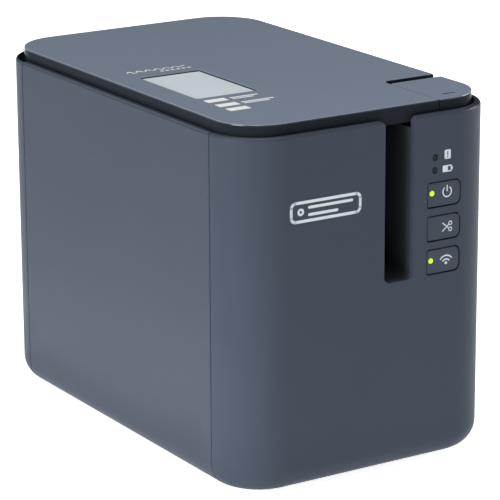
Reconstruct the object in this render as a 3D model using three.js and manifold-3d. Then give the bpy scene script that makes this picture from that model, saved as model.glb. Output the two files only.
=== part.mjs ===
// Desktop label maker for 36 mm tape: a hollow shell round a cassette well,
// under a cover hinged at the rear. Millimetres, +Z up, front towards -Y,
// origin under the middle of the body on the surface that the feet rest on.

import * as THREE from 'three';
import { mergeVertices } from 'three/addons/utils/BufferGeometryUtils.js';
import Module from 'manifold-3d';

const wasm = await Module();
wasm.setup();

// ---- driving dimensions -------------------------------------------------

const WIDTH = 120;
const DEPTH = 192;
const HEIGHT = 146;
const FOOT = 2;                 // how far the feet hold the body up
const FRONT = -DEPTH / 2;
const REAR = DEPTH / 2;

const CORNER_FRONT = 22;        // upright edges
const CORNER_REAR = 24.5;
const BOTTOM_ROUND = 10;        // edge between the sides and the underside
const WALL = 2.4;
const RIM = 141.6;              // top of the side walls
const GAP = 0.3;                // clearance between pieces
const CUT = 1;                  // how far a cutter runs past a face

const SEAM_FRONT = -75.1;       // joint between front shell and side panels
const SEAM_REAR = 72;
const SEAM_GAP = 0.5;

const FLANGE = 16;              // inset of the opening in the underside
const TRAY_LIP = 10.4;          // inset of the tray's upper lip
const TRAY_TOP = 7.2;

const DECK_TOP = 133;
const DECK = 2.4;
const WELL = { x0: -53, x1: 36, y0: -71, y1: 27, floor: 85.7, wall: 2 };

const COVER_INSET = 3.6;
const COVER_SKIRT = 1.8;
const COVER_PLATE = 1.8;
const COVER_BOTTOM = 139;
const HINGE = { y: 85.5, z: 142, pin: 1.1, bore: 1.35, lug: 2, x: 38, width: 6 };
const WINDOW = { x0: -44.3, x1: -17, y0: -41, y1: 2.3, depth: 0.6 };

const TAB = { x0: 32.2, y1: -60, groove: 5 };

const SLOT = { x0: 4.7, x1: 17.9, z0: 78.1, round: 2.5, top_round: 2.2, inner: -73.3 };
const TAPE_X = 11;              // plane that the tape runs in

const BUTTON = { x0: 24.8, x1: 40, height: 9.5, round: 2.5, left_round: 0.8, travel: 0.8 };
const BUTTON_Z = { power: 105, cut: 91.7, wireless: 78.5 };
const LAMP = 1.15;              // radius of a light pipe
const LAMPS = {
  alert_lamp: { x: 27.9, z: 124.5 },
  battery_lamp: { x: 27.8, z: 119.5 },
  power_lamp: { x: 26.9, z: 110.4 },
  wireless_lamp: { x: 26.7, z: 83.7 },
};

const GEAR_MODULE = 0.8;
const MESH_SLACK = 0.2;         // added to each distance between gear centres
const LEVEL_A = [74, 77.2];     // lower gear level
const LEVEL_B = [78, 81.2];     // upper gear level
const CHASSIS = { top: 73.2, thick: 1.4, x0: -34, x1: 36, y0: -60, y1: 0 };
const STUD = 1.5;
const STUD_BORE = 1.8;

const PLATEN = { x: 15.4, y: -44, radius: 5.4, teeth: 16 };
const FEED = { x: 15, y: -56, radius: 4.4, teeth: 14 };
const DRIVE = { teeth: 30, direction: 165 };    // towards it from the platen, degrees
const MOTOR_GEAR = { teeth: 12, direction: 60 };
const RIBBON_GEAR = { teeth: 20, direction: 170 };
const TRANSFER_TEETH = 18;
const HOLDER_PIVOT = { x: 25, y: -8 };
const ROLLER = { z0: 88, z1: 127 };

const CASSETTE = { x0: -51, x1: 2.5, y0: -58, y1: 24, z0: 86, z1: 132, wall: 1.4, lid: 1.8 };
const TAPE_ROLL = { x: -26, y: 0, radius: 20.5, bore: 8 };
const RIBBON = { x: -40, y: -46, radius: 9, bore: 4 };

const CUTTER = { x: 13, z: 80, open: 22, teeth: 24, pinion: 14, module: 1 };
const FRAME_PLATE = [-68.3, -66.8];
const FIXED_BLADE = [-66.5, -65.3];
const MOVING_BLADE = [-65, -63.8];

// ---- materials ------------------------------------------------------------

const shade = (color, roughness, metalness = 0) => ({ color, roughness, metalness });
const SHELL = shade(0x545d6b, 0.45);
const COVER = shade(0x5b6471, 0.4);
const BLACK = shade(0x1c1e21, 0.55);
const RUBBER = shade(0x191919, 0.9);
const STEEL = shade(0xa8abae, 0.35, 0.9);
const ALUMINIUM = shade(0xc3c6c8, 0.4, 0.9);
const BOARD = shade(0x1f5b3a, 0.5);
const ACETAL = shade(0xe7e4da, 0.5);
const WHITE = shade(0xf2f2ef, 0.6);
const FROSTED = shade(0xb9c2ce, 0.25);
const LIT = shade(0xc8f820, 0.3);
const UNLIT = shade(0x23262b, 0.3);
const FILM = shade(0x2b2b30, 0.4);

// ---- solids ---------------------------------------------------------------

const EXTRUDE_AXES = {
  x: new THREE.Matrix4().makeBasis(
    new THREE.Vector3(0, 1, 0), new THREE.Vector3(0, 0, 1), new THREE.Vector3(1, 0, 0)),
  y: new THREE.Matrix4().makeBasis(
    new THREE.Vector3(1, 0, 0), new THREE.Vector3(0, 0, 1), new THREE.Vector3(0, -1, 0)),
  z: new THREE.Matrix4(),
};

/** Closed three.js geometry as a manifold solid. */
function solid(geometry) {
  const bare = geometry.index ? geometry.toNonIndexed() : geometry.clone();
  bare.deleteAttribute('normal');
  bare.deleteAttribute('uv');
  const merged = mergeVertices(bare, 1e-4);
  return new wasm.Manifold(new wasm.Mesh({
    numProp: 3,
    vertProperties: Float32Array.from(merged.attributes.position.array),
    triVerts: Uint32Array.from(merged.index.array),
  }));
}

function box(x0, x1, y0, y1, z0, z1) {
  const geometry = new THREE.BoxGeometry(x1 - x0, y1 - y0, z1 - z0);
  geometry.translate((x0 + x1) / 2, (y0 + y1) / 2, (z0 + z1) / 2);
  return solid(geometry);
}

/** Round bar along an axis: a and b are the two other coordinates, in x, y, z order. */
function rod(axis, a, b, radius, from, to, sides = 18) {
  const geometry = new THREE.CylinderGeometry(radius, radius, to - from, sides);
  const middle = (from + to) / 2;
  if (axis === 'x') geometry.rotateZ(Math.PI / 2).translate(middle, a, b);
  if (axis === 'y') geometry.translate(a, middle, b);
  if (axis === 'z') geometry.rotateX(Math.PI / 2).translate(a, b, middle);
  return solid(geometry);
}

/** Outline extruded along an axis; along y it is drawn in x, z and along x in y, z. */
function prism(axis, shape, from, to, arcs = 3) {
  const geometry = new THREE.ExtrudeGeometry(
    shape, { depth: to - from, bevelEnabled: false, curveSegments: arcs });
  geometry.applyMatrix4(EXTRUDE_AXES[axis]);
  if (axis === 'x') geometry.translate(from, 0, 0);
  if (axis === 'y') geometry.translate(0, to, 0);
  if (axis === 'z') geometry.translate(0, 0, from);
  return solid(geometry);
}

const join = (...solids) => solids.reduce((whole, next) => whole.add(next));
const cut = (whole, ...tools) => tools.reduce((rest, tool) => rest.subtract(tool), whole);

/** Rectangle with round corners, radii in the order low-left, low-right, high-right, high-left. */
function roundedRect(x0, y0, x1, y1, radii) {
  const [a, b, c, d] = Array.isArray(radii) ? radii : [radii, radii, radii, radii];
  const shape = new THREE.Shape();
  shape.moveTo(x0 + a, y0);
  shape.lineTo(x1 - b, y0);
  if (b) shape.absarc(x1 - b, y0 + b, b, -Math.PI / 2, 0);
  shape.lineTo(x1, y1 - c);
  if (c) shape.absarc(x1 - c, y1 - c, c, 0, Math.PI / 2);
  shape.lineTo(x0 + d, y1);
  if (d) shape.absarc(x0 + d, y1 - d, d, Math.PI / 2, Math.PI);
  shape.lineTo(x0, y0 + a);
  if (a) shape.absarc(x0 + a, y0 + a, a, Math.PI, 1.5 * Math.PI);
  return shape;
}

function polygon(points) {
  return new THREE.Shape(points.map(([x, y]) => new THREE.Vector2(x, y)));
}

/** Plan of the body, drawn in from its outer face by inset. */
function bodyPlan(inset) {
  const side = WIDTH / 2 - inset;
  const front = CORNER_FRONT - inset;
  const rear = CORNER_REAR - inset;
  return roundedRect(-side, FRONT + inset, side, REAR - inset, [front, front, rear, rear]);
}

/** Body block with a round bottom edge, open above to be trimmed at the rim. */
function bodyBlock(inset) {
  const round = BOTTOM_ROUND - inset;
  const bottom = FOOT + inset;
  const geometry = new THREE.ExtrudeGeometry(bodyPlan(inset), {
    depth: HEIGHT - bottom,
    bevelThickness: round,
    bevelSize: round,
    bevelOffset: -round,
    bevelSegments: 5,
    curveSegments: 4,
  });
  geometry.translate(0, 0, bottom + round);
  return cut(solid(geometry), box(-WIDTH, WIDTH, -DEPTH, DEPTH, RIM, 2 * HEIGHT));
}

// ---- gears ----------------------------------------------------------------

const PRESSURE_ANGLE = THREE.MathUtils.degToRad(20);
const ADDENDUM = 0.9;           // tooth height above the pitch circle, in modules
const DEDENDUM = 1.25;
const BACKLASH = 0.12;          // tooth thinning at the pitch circle, in modules

/** Outline of an involute gear with one tooth centred on the angle phase. */
function gearPlan(teeth, module, phase = 0) {
  const pitch = (teeth * module) / 2;
  const base = pitch * Math.cos(PRESSURE_ANGLE);
  const root = pitch - DEDENDUM * module;
  const tip = pitch + ADDENDUM * module;
  const involute = (radius) => {
    const angle = Math.acos(Math.min(1, base / radius));
    return Math.tan(angle) - angle;
  };
  const halfTooth = (Math.PI / 2 - BACKLASH) / teeth;
  const halfAt = (radius) => halfTooth + involute(pitch) - involute(radius);
  const flank = [root, pitch, tip];
  const points = [];
  for (let tooth = 0; tooth < teeth; tooth += 1) {
    const middle = phase + (2 * Math.PI * tooth) / teeth;
    const rise = flank.map((radius) => [radius, middle - halfAt(Math.max(radius, base))]);
    const fall = flank.map((radius) => [radius, middle + halfAt(Math.max(radius, base))]);
    points.push(...rise, ...fall.reverse());
  }
  return polygon(points.map(([radius, angle]) =>
    [radius * Math.cos(angle), radius * Math.sin(angle)]));
}

/** Centre of the gear that meshes with two others, to the left of the way between them. */
function meshCentre(first, second, teeth) {
  const reach = (gear) => ((gear.teeth + teeth) * GEAR_MODULE) / 2 + MESH_SLACK;
  const span = Math.hypot(second.x - first.x, second.y - first.y);
  const along = (reach(first) ** 2 - reach(second) ** 2 + span ** 2) / (2 * span);
  const aside = Math.sqrt(reach(first) ** 2 - along ** 2);
  const ux = (second.x - first.x) / span;
  const uy = (second.y - first.y) / span;
  return { x: first.x + ux * along - uy * aside, y: first.y + uy * along + ux * aside, teeth };
}

/** Centre of the gear that meshes with one other, in a given direction from it. */
function meshAlong(gear, teeth, degrees) {
  const reach = ((gear.teeth + teeth) * GEAR_MODULE) / 2 + MESH_SLACK;
  const angle = THREE.MathUtils.degToRad(degrees);
  return { x: gear.x + reach * Math.cos(angle), y: gear.y + reach * Math.sin(angle), teeth };
}

/** Phase that puts a gap of the driven gear on a tooth of the driver. */
function meshPhase(driver, driven) {
  const direction = Math.atan2(driven.y - driver.y, driven.x - driver.x);
  const lag = direction - driver.phase;
  return direction + Math.PI + (lag * driver.teeth) / driven.teeth + Math.PI / driven.teeth;
}

const driveGear = { ...meshAlong(PLATEN, DRIVE.teeth, DRIVE.direction), phase: 0 };
const platenGear = { ...PLATEN, phase: meshPhase(driveGear, PLATEN) };
const transferGear = meshCentre(PLATEN, FEED, TRANSFER_TEETH);
transferGear.phase = meshPhase(platenGear, transferGear);
const feedGear = { ...FEED, phase: meshPhase(transferGear, FEED) };
const motorGear = meshAlong(driveGear, MOTOR_GEAR.teeth, MOTOR_GEAR.direction);
motorGear.phase = meshPhase(driveGear, motorGear);
const ribbonGear = meshAlong(driveGear, RIBBON_GEAR.teeth, RIBBON_GEAR.direction);
ribbonGear.phase = meshPhase(driveGear, ribbonGear);

function gearSolid(gear, from, to) {
  const body = prism('z', gearPlan(gear.teeth, GEAR_MODULE, gear.phase), from, to);
  return body.translate([gear.x, gear.y, 0]);
}

// ---- the object -----------------------------------------------------------

const labelMaker = new THREE.Group();

/** Adds one named piece; a piece drawn about its own axis is given its place. */
function add(name, body, look, place = {}) {
  const mesh = body.getMesh();
  const geometry = new THREE.BufferGeometry();
  geometry.setAttribute('position', new THREE.BufferAttribute(mesh.vertProperties, 3));
  geometry.setIndex(new THREE.BufferAttribute(mesh.triVerts, 1));
  const piece = new THREE.Mesh(geometry, new THREE.MeshStandardMaterial(look));
  piece.name = name;
  piece.position.set(...(place.position ?? [0, 0, 0]));
  piece.rotation.set(...(place.rotation ?? [0, 0, 0]));
  labelMaker.add(piece);
}

// Shells: one rounded skin, parted at the two seams and at the middle.

const SHELL_SCREWS = { front: [-30, -83], rear: [30, 83] };
const SCREW = { head: 2.5, shaft: 1.2, hole: 1.5, sink: 2.8, head_z: [2.3, 3.3], top: 11 };

const skin = cut(
  bodyBlock(0),
  bodyBlock(WALL),
  prism('z', bodyPlan(FLANGE), 0, FOOT + WALL + CUT, 4),
);

function screwCutter([x, y]) {
  return join(
    rod('z', x, y, SCREW.hole, 0, TRAY_TOP, 12),
    rod('z', x, y, SCREW.sink, 0, SCREW.head_z[1] + GAP, 12),
  );
}

const buttonPlan = (z, grow) => roundedRect(
  BUTTON.x0 - grow, z - grow, BUTTON.x1 + grow, z + BUTTON.height + grow,
  [BUTTON.left_round, BUTTON.round, BUTTON.round, BUTTON.left_round]);

function slotPlan() {
  const { x0, x1, z0, round, top_round: lip } = SLOT;
  const shape = new THREE.Shape();
  shape.moveTo(x0 + round, z0);
  shape.lineTo(x1 - round, z0);
  shape.absarc(x1 - round, z0 + round, round, -Math.PI / 2, 0);
  shape.lineTo(x1, RIM - lip);
  shape.absarc(x1 + lip, RIM - lip, lip, Math.PI, Math.PI / 2, true);
  shape.lineTo(x1 + lip, RIM + CUT);
  shape.lineTo(x0 - lip, RIM + CUT);
  shape.lineTo(x0 - lip, RIM);
  shape.absarc(x0 - lip, RIM - lip, lip, Math.PI / 2, 0, true);
  shape.lineTo(x0, z0 + round);
  shape.absarc(x0 + round, z0 + round, round, Math.PI, 1.5 * Math.PI);
  return shape;
}

const FRONT_WALL = [FRONT - CUT, FRONT + WALL + CUT];
const BUTTON_GAP = 0.4;
const frontCutters = [
  prism('y', slotPlan(), ...FRONT_WALL),
  ...Object.values(BUTTON_Z).map((z) => prism('y', buttonPlan(z, BUTTON_GAP), ...FRONT_WALL)),
  ...[LAMPS.alert_lamp, LAMPS.battery_lamp].map(({ x, z }) =>
    rod('y', x, z, LAMP + GAP / 2, ...FRONT_WALL, 12)),
  screwCutter(SHELL_SCREWS.front),
];
const frontHalf = box(-WIDTH, WIDTH, -DEPTH, SEAM_FRONT - SEAM_GAP / 2, 0, HEIGHT);
add('front_shell', cut(skin.intersect(frontHalf), ...frontCutters), SHELL);

const SOCKETS = {
  dc: { x: -34, z: 20, radius: 5 },
  usb: { x: -12, z: 20, wide: 12, high: 11, open: [8.4, 7.6] },
  serial: { x: 14, z: 20, wide: 14, high: 12, open: [10, 8] },
};
const REAR_WALL = [REAR - WALL - CUT, REAR + CUT];

function socketHole({ x, z, wide, high }) {
  return box(x - wide / 2 - GAP, x + wide / 2 + GAP, ...REAR_WALL,
    z - high / 2 - GAP, z + high / 2 + GAP);
}

// Thinner wall behind the cover, which swings back as it opens.
const SWING_RELIEF = { inset: 0.8, z: 137 };
const rearHalf = box(-WIDTH, WIDTH, SEAM_REAR + SEAM_GAP / 2, DEPTH, 0, HEIGHT);
add('rear_shell', cut(
  skin.intersect(rearHalf),
  prism('z', bodyPlan(SWING_RELIEF.inset), SWING_RELIEF.z, HEIGHT, 4),
  rod('y', SOCKETS.dc.x, SOCKETS.dc.z, SOCKETS.dc.radius + GAP, ...REAR_WALL),
  socketHole(SOCKETS.usb),
  socketHole(SOCKETS.serial),
  screwCutter(SHELL_SCREWS.rear),
), SHELL);

for (const [name, side] of [['left_side_panel', -1], ['right_side_panel', 1]]) {
  const ends = [SEAM_FRONT + SEAM_GAP / 2, SEAM_REAR - SEAM_GAP / 2];
  const reach = side < 0 ? [-WIDTH, 0] : [0, WIDTH];
  add(name, skin.intersect(box(...reach, ...ends, 0, HEIGHT)), SHELL);
}

// Base: a tray whose lip lies on the shells' bottom flanges.

const FEET = [[-30, -71], [30, -71], [-30, 71], [30, 71]];
const FOOT_SIZE = { radius: 6.5, stem: 2.5, top: 9 };
const POSTS = [[-40, -70], [40, -70], [-40, 38], [40, 38]];
const POST = 4;

const tray = join(
  prism('z', bodyPlan(FLANGE + GAP), FOOT, TRAY_TOP, 4),
  prism('z', bodyPlan(TRAY_LIP), FOOT + WALL + GAP, TRAY_TOP, 4),
  ...Object.values(SHELL_SCREWS).map(([x, y]) => rod('z', x, y, 3, TRAY_TOP - GAP, SCREW.top)),
);
add('base_tray', cut(
  tray,
  ...FEET.map(([x, y]) => rod('z', x, y, FOOT_SIZE.stem + GAP, 0, TRAY_TOP + CUT, 12)),
  ...POSTS.map(screwCutter),
  ...Object.values(SHELL_SCREWS).map(([x, y]) =>
    rod('z', x, y, SCREW.hole, 0, SCREW.top - CUT, 12)),
), BLACK);

function screwSolid([x, y], top) {
  return join(
    rod('z', x, y, SCREW.head, ...SCREW.head_z, 12),
    rod('z', x, y, SCREW.shaft, SCREW.head_z[1] - CUT / 2, top, 12),
  );
}

const CORNERS = ['front_left', 'front_right', 'rear_left', 'rear_right'];
const SCREW_DEPTH = 20;
CORNERS.forEach((corner, index) => {
  const [x, y] = FEET[index];
  add(`foot_${corner}`, join(
    rod('z', x, y, FOOT_SIZE.radius, 0, FOOT - GAP),
    rod('z', x, y, FOOT_SIZE.stem, FOOT - GAP - CUT, FOOT_SIZE.top, 12),
  ), RUBBER);
  add(`base_screw_${corner}`, screwSolid(POSTS[index], SCREW_DEPTH - CUT), STEEL);
});
for (const [end, at] of Object.entries(SHELL_SCREWS)) {
  add(`${end}_shell_screw`, screwSolid(at, SCREW.top - 2 * CUT), STEEL);
}

// Frame: deck, cassette well and the posts that stand on the tray.

const HINGE_ARM = { slope: 20, reach: 14, foot: 5 };

/** Hinge lug in y, z: an eye round the pin and an arm that falls to the deck in front. */
function lugPlan() {
  const slope = THREE.MathUtils.degToRad(HINGE_ARM.slope);
  const along = [-Math.cos(slope), -Math.sin(slope)];
  const aside = [Math.sin(slope), -Math.cos(slope)];
  const at = (far, off) => [
    HINGE.y + far * along[0] + off * aside[0],
    HINGE.z + far * along[1] + off * aside[1],
  ];
  const under = at(HINGE_ARM.reach - HINGE_ARM.foot, HINGE.lug);
  const end = at(HINGE_ARM.reach, -HINGE.lug);
  const shape = new THREE.Shape();
  shape.moveTo(...at(0, HINGE.lug));
  shape.lineTo(...under);
  shape.lineTo(under[0], DECK_TOP - CUT);
  shape.lineTo(end[0], DECK_TOP - CUT);
  shape.lineTo(...end);
  shape.lineTo(...at(0, -HINGE.lug));
  const start = Math.atan2(-aside[1], -aside[0]);
  shape.absarc(HINGE.y, HINGE.z, HINGE.lug, start, start - Math.PI, true);
  return shape;
}

const hingeLug = (x) => prism('x', lugPlan(), x - HINGE.width / 2, x + HINGE.width / 2);
const hingeBore = rod('x', HINGE.y, HINGE.z, HINGE.bore, -WIDTH / 2, WIDTH / 2);

const LATCH = { x1: 42, y0: -88.5, y1: -82.5, z: 130.3, thick: 2 };
const HOOK = { x0: 24, x1: 28, y0: -87, y1: -84, nose: 1.6, bottom: 126 };
const STEM = { x: 45, y: -78, radius: 2.5, bottom: 128.6 };
const SPRING = { radius: 4.4, wire: 0.7, turns: 3.5, z0: 133.7, z1: 142.4 };
const TAPE_SLIT = [9.2, 13.2];
const ROLLER_HOLE = [11.5, WELL.x1 - CUT / 2, -62.5, -38];
const BLADE_HOLE = [-2, WELL.x1 - CUT / 2, WELL.y0 + CUT / 2, -62];
const CUTTER_BOSS = [31.5, 82];

const wellOuter = box(WELL.x0 - WELL.wall, WELL.x1 + WELL.wall, WELL.y0 - WELL.wall,
  WELL.y1 + WELL.wall, WELL.floor - WELL.wall, DECK_TOP);
const wellInner = box(WELL.x0, WELL.x1, WELL.y0, WELL.y1, WELL.floor, HEIGHT);
const deck = prism('z', bodyPlan(WALL + GAP), DECK_TOP - DECK, DECK_TOP, 4);
const posts = POSTS.map(([x, y]) => {
  const insideWell = x < 0 && y < 0;
  return rod('z', x, y, POST, TRAY_TOP + GAP, insideWell ? WELL.floor - CUT : DECK_TOP - CUT, 12);
});

add('mechanism_frame', cut(
  join(cut(join(deck, wellOuter, ...posts), wellInner),
    rod('y', ...CUTTER_BOSS, 3, WELL.y0 - CUT, FRAME_PLATE[0] - GAP, 12),
    hingeLug(-HINGE.x), hingeLug(HINGE.x)),
  hingeBore,
  box(SLOT.x0 - 2, SLOT.x1 + 2, FRONT, SLOT.inner + CUT / 2, DECK_TOP - 2 * DECK, HEIGHT),
  box(...TAPE_SLIT, FRONT, WELL.y0 + CUT, WELL.floor, HEIGHT),
  box(...ROLLER_HOLE, 0, WELL.floor + CUT),
  rod('z', ribbonGear.x, ribbonGear.y, 4.5, 0, WELL.floor + CUT),
  rod('z', HOLDER_PIVOT.x, HOLDER_PIVOT.y, STUD_BORE, 0, WELL.floor + CUT, 12),
  box(...BLADE_HOLE, 0, WELL.floor + CUT),
  box(HOOK.x0 - 1.4, HOOK.x1 + 3.4, HOOK.y0 - 2, HOOK.y1 + 2, 0, HEIGHT),
  rod('z', STEM.x, STEM.y, STEM.radius + GAP, 0, HEIGHT),
  rod('y', ...CUTTER_BOSS, SCREW.shaft, WELL.y0, HEIGHT, 12),
  ...POSTS.map(([x, y]) => rod('z', x, y, SCREW.hole, 0, SCREW_DEPTH, 12)),
), BLACK);

// Tape outlet: a channel from the cutter to the slot in the front.

const CHUTE_WALL = 1.4;
const CHUTE_TOP = 137;
const chuteOuter = roundedRect(SLOT.x0 - CHUTE_WALL, SLOT.z0 - CHUTE_WALL,
  SLOT.x1 + CHUTE_WALL, CHUTE_TOP, [SLOT.round, SLOT.round, 0, 0]);
const chuteInner = roundedRect(SLOT.x0, SLOT.z0, SLOT.x1, CHUTE_TOP + CUT,
  [SLOT.round, SLOT.round, 0, 0]);
const CHUTE_Y = [FRONT + WALL + GAP, SLOT.inner];
const CHUTE_BACK = 1.2;
add('exit_chute', cut(
  prism('y', chuteOuter, ...CHUTE_Y),
  prism('y', chuteInner, CHUTE_Y[0] - CUT, CHUTE_Y[1] - CHUTE_BACK),
  box(...TAPE_SLIT, ...CHUTE_Y, WELL.floor, HEIGHT),
), BLACK);

// Cover: a shallow lid, cut away at the front right round the release button.

const coverPlan = (inset) => bodyPlan(COVER_INSET + inset);

/** Front right corner of the cover plane, cut away with a groove behind it. */
function tabRegion(grow, back) {
  return box(TAB.x0 - grow, WIDTH, -DEPTH, TAB.y1 + back, 0, 2 * HEIGHT);
}

const lid = cut(
  prism('z', coverPlan(0), COVER_BOTTOM, HEIGHT, 4),
  prism('z', coverPlan(COVER_SKIRT), COVER_BOTTOM - CUT, HEIGHT - COVER_PLATE, 4),
);
const tabWall = box(TAB.x0 - GAP - COVER_SKIRT, WIDTH / 2 - COVER_INSET - COVER_SKIRT,
  FRONT + COVER_INSET + COVER_SKIRT, TAB.y1 + TAB.groove + COVER_SKIRT,
  COVER_BOTTOM, HEIGHT - COVER_PLATE / 2);
const knuckles = [-1, 1].flatMap((side) => [-1, 1].map((end) => {
  const x = side * HINGE.x + end * (HINGE.width + GAP);
  return box(x - HINGE.width / 2 + GAP, x + HINGE.width / 2, HINGE.y - 2.8, HINGE.y + 2.8,
    HINGE.z - 2.4, HEIGHT - COVER_PLATE / 2);
}));
const windowFrame = box(WINDOW.x0 - 2, WINDOW.x1 + 2, WINDOW.y0 - 2, WINDOW.y1 + 2,
  HEIGHT - 2 * COVER_PLATE, HEIGHT - COVER_PLATE / 2);
const hook = join(
  box(HOOK.x0, HOOK.x1, HOOK.y0, HOOK.y1, HOOK.bottom, HEIGHT - COVER_PLATE / 2),
  box(HOOK.x1 - CUT, HOOK.x1 + HOOK.nose, HOOK.y0, HOOK.y1, HOOK.bottom, HOOK.bottom + 2),
);
const PANE = 1;
add('top_cover', cut(
  join(lid, tabWall, ...knuckles, windowFrame, hook),
  tabRegion(GAP, TAB.groove),
  hingeBore,
  box(WINDOW.x0, WINDOW.x1, WINDOW.y0, WINDOW.y1, HEIGHT - WINDOW.depth - PANE - GAP, HEIGHT + CUT),
  box(WINDOW.x0 + 2, WINDOW.x1 - 2, WINDOW.y0 + 2, WINDOW.y1 - 2, COVER_BOTTOM, HEIGHT),
), COVER);

add('cover_window', box(WINDOW.x0 + GAP, WINDOW.x1 - GAP, WINDOW.y0 + GAP, WINDOW.y1 - GAP,
  HEIGHT - WINDOW.depth - PANE, HEIGHT - WINDOW.depth), FROSTED);

for (const [name, side] of [['hinge_pin_left', -1], ['hinge_pin_right', 1]]) {
  const x = side * HINGE.x;
  add(name, rod('x', HINGE.y, HINGE.z, HINGE.pin, x - 9, x + 9, 12), STEEL);
}

// Release button, its spring and the latch that it pushes aside.

const tab = cut(
  prism('z', coverPlan(0), COVER_BOTTOM, HEIGHT, 4),
  prism('z', coverPlan(COVER_SKIRT), COVER_BOTTOM - CUT, HEIGHT - COVER_PLATE, 4),
);
const tabBox = cut(tabRegion(0, 0), box(-WIDTH, WIDTH, -DEPTH, DEPTH, 0, COVER_BOTTOM));
const tabSides = cut(
  box(TAB.x0, WIDTH / 2 - COVER_INSET - COVER_SKIRT, FRONT + COVER_INSET + COVER_SKIRT, TAB.y1,
    COVER_BOTTOM, HEIGHT - COVER_PLATE / 2),
  box(TAB.x0 + COVER_SKIRT, WIDTH, -DEPTH, TAB.y1 - COVER_SKIRT, 0, HEIGHT - COVER_PLATE),
).intersect(prism('z', coverPlan(CUT), COVER_BOTTOM, HEIGHT, 4));
add('release_button', join(
  tab.intersect(tabBox),
  tabSides,
  rod('z', STEM.x, STEM.y, STEM.radius, STEM.bottom, HEIGHT - COVER_PLATE / 2, 12),
), COVER);

/** Helical path of the spring's wire. */
class Coil extends THREE.Curve {
  getPoint(t, target = new THREE.Vector3()) {
    const angle = 2 * Math.PI * SPRING.turns * t;
    const middle = SPRING.radius - SPRING.wire;
    const rise = SPRING.z1 - SPRING.z0 - 2 * SPRING.wire;
    return target.set(STEM.x + middle * Math.cos(angle), STEM.y + middle * Math.sin(angle),
      SPRING.z0 + SPRING.wire + rise * t);
  }
}
const wire = new THREE.Shape().absarc(0, 0, SPRING.wire, 0, 2 * Math.PI);
add('release_spring', solid(new THREE.ExtrudeGeometry(
  wire, { extrudePath: new Coil(), steps: 48, curveSegments: 3, bevelEnabled: false })), STEEL);

add('cover_latch', box(HOOK.x1 + HOOK.nose + GAP, LATCH.x1, LATCH.y0, LATCH.y1,
  LATCH.z - LATCH.thick, LATCH.z), ACETAL);

// Front buttons, each with a flange behind the wall and a stem to its switch.

const CAP_FACE = FRONT + 0.3;
const FLANGE_Y = [FRONT + WALL + GAP, FRONT + WALL + GAP + 1];
const SWITCH_FACE = FLANGE_Y[1] + 0.6 + BUTTON.travel;
const SWITCH = { size: 3, thick: 2 };

for (const [kind, z] of Object.entries(BUTTON_Z)) {
  const middle = [(BUTTON.x0 + BUTTON.x1) / 2, z + BUTTON.height / 2];
  const lamp = LAMPS[`${kind}_lamp`];
  const cap = join(
    prism('y', buttonPlan(z, 0), CAP_FACE, FLANGE_Y[0] + CUT / 2),
    prism('y', buttonPlan(z, BUTTON_GAP + 0.5), ...FLANGE_Y),
    rod('y', ...middle, 1.5, FLANGE_Y[1] - CUT, SWITCH_FACE - BUTTON.travel - 0.1, 12),
  );
  const body = lamp ? cap.subtract(rod('y', lamp.x, lamp.z, LAMP + GAP / 2, FRONT, 0, 12)) : cap;
  add(`${kind}_button`, body, SHELL);
}

const boardFace = SWITCH_FACE + SWITCH.thick;
for (const [name, { x, z }] of Object.entries(LAMPS)) {
  const lit = name === 'power_lamp' || name === 'wireless_lamp';
  const back = lit ? FLANGE_Y[1] : boardFace - GAP;
  add(name, rod('y', x, z, LAMP, CAP_FACE - GAP / 3, back, 12), lit ? LIT : UNLIT);
}

const BOARD_THICK = 1.6;
const SWITCH_BOARD = { x0: 22, x1: 43, z0: 76, z1: 126.5 };
add('switch_board', join(
  box(SWITCH_BOARD.x0, SWITCH_BOARD.x1, boardFace, boardFace + BOARD_THICK,
    SWITCH_BOARD.z0, SWITCH_BOARD.z1),
  ...Object.values(BUTTON_Z).map((z) => {
    const x = (BUTTON.x0 + BUTTON.x1) / 2;
    const middle = z + BUTTON.height / 2;
    return box(x - SWITCH.size, x + SWITCH.size, SWITCH_FACE, boardFace + CUT,
      middle - SWITCH.size, middle + SWITCH.size);
  }),
), BOARD);

// Chassis and the tape feed: motor, gears and two rubber rollers.

const HOLDER_STUD_TOP = 90;

const { x0: plateLeft, x1: plateRight, y0: plateFront, y1: plateRear } = CHASSIS;
add('chassis_plate', cut(
  join(
    box(plateLeft, plateRight, plateFront, plateRear, CHASSIS.top - CHASSIS.thick, CHASSIS.top),
    rod('z', driveGear.x, driveGear.y, STUD, CHASSIS.top - CUT, LEVEL_B[1] + 1, 12),
    rod('z', ribbonGear.x, ribbonGear.y, STUD, CHASSIS.top - CUT, WELL.floor, 12),
    rod('z', HOLDER_PIVOT.x, HOLDER_PIVOT.y, STUD, CHASSIS.top - CUT, HOLDER_STUD_TOP, 12),
  ),
  rod('z', motorGear.x, motorGear.y, 3, 0, HEIGHT, 12),
), STEEL);

const gearBore = ({ x, y }) => rod('z', x, y, STUD_BORE, 0, HEIGHT, 12);
add('drive_gear', cut(gearSolid(driveGear, ...LEVEL_B), gearBore(driveGear)), ACETAL);
add('transfer_gear', cut(
  gearSolid(transferGear, LEVEL_A[0], LEVEL_B[1]),
  gearBore(transferGear),
), ACETAL);

const MOTOR = { radius: 13, z0: 38, shaft: 1, bore: 1.3 };
const motorTop = CHASSIS.top - CHASSIS.thick - GAP;
add('feed_motor', cut(
  rod('z', motorGear.x, motorGear.y, MOTOR.radius, MOTOR.z0, motorTop, 24),
  rod('z', motorGear.x, motorGear.y, MOTOR.bore, motorTop - 8, motorTop + CUT, 12),
), STEEL);
add('motor_gear', join(
  gearSolid(motorGear, ...LEVEL_B),
  rod('z', motorGear.x, motorGear.y, MOTOR.shaft, motorTop - 7, LEVEL_B[0] + CUT, 12),
), STEEL);

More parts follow.
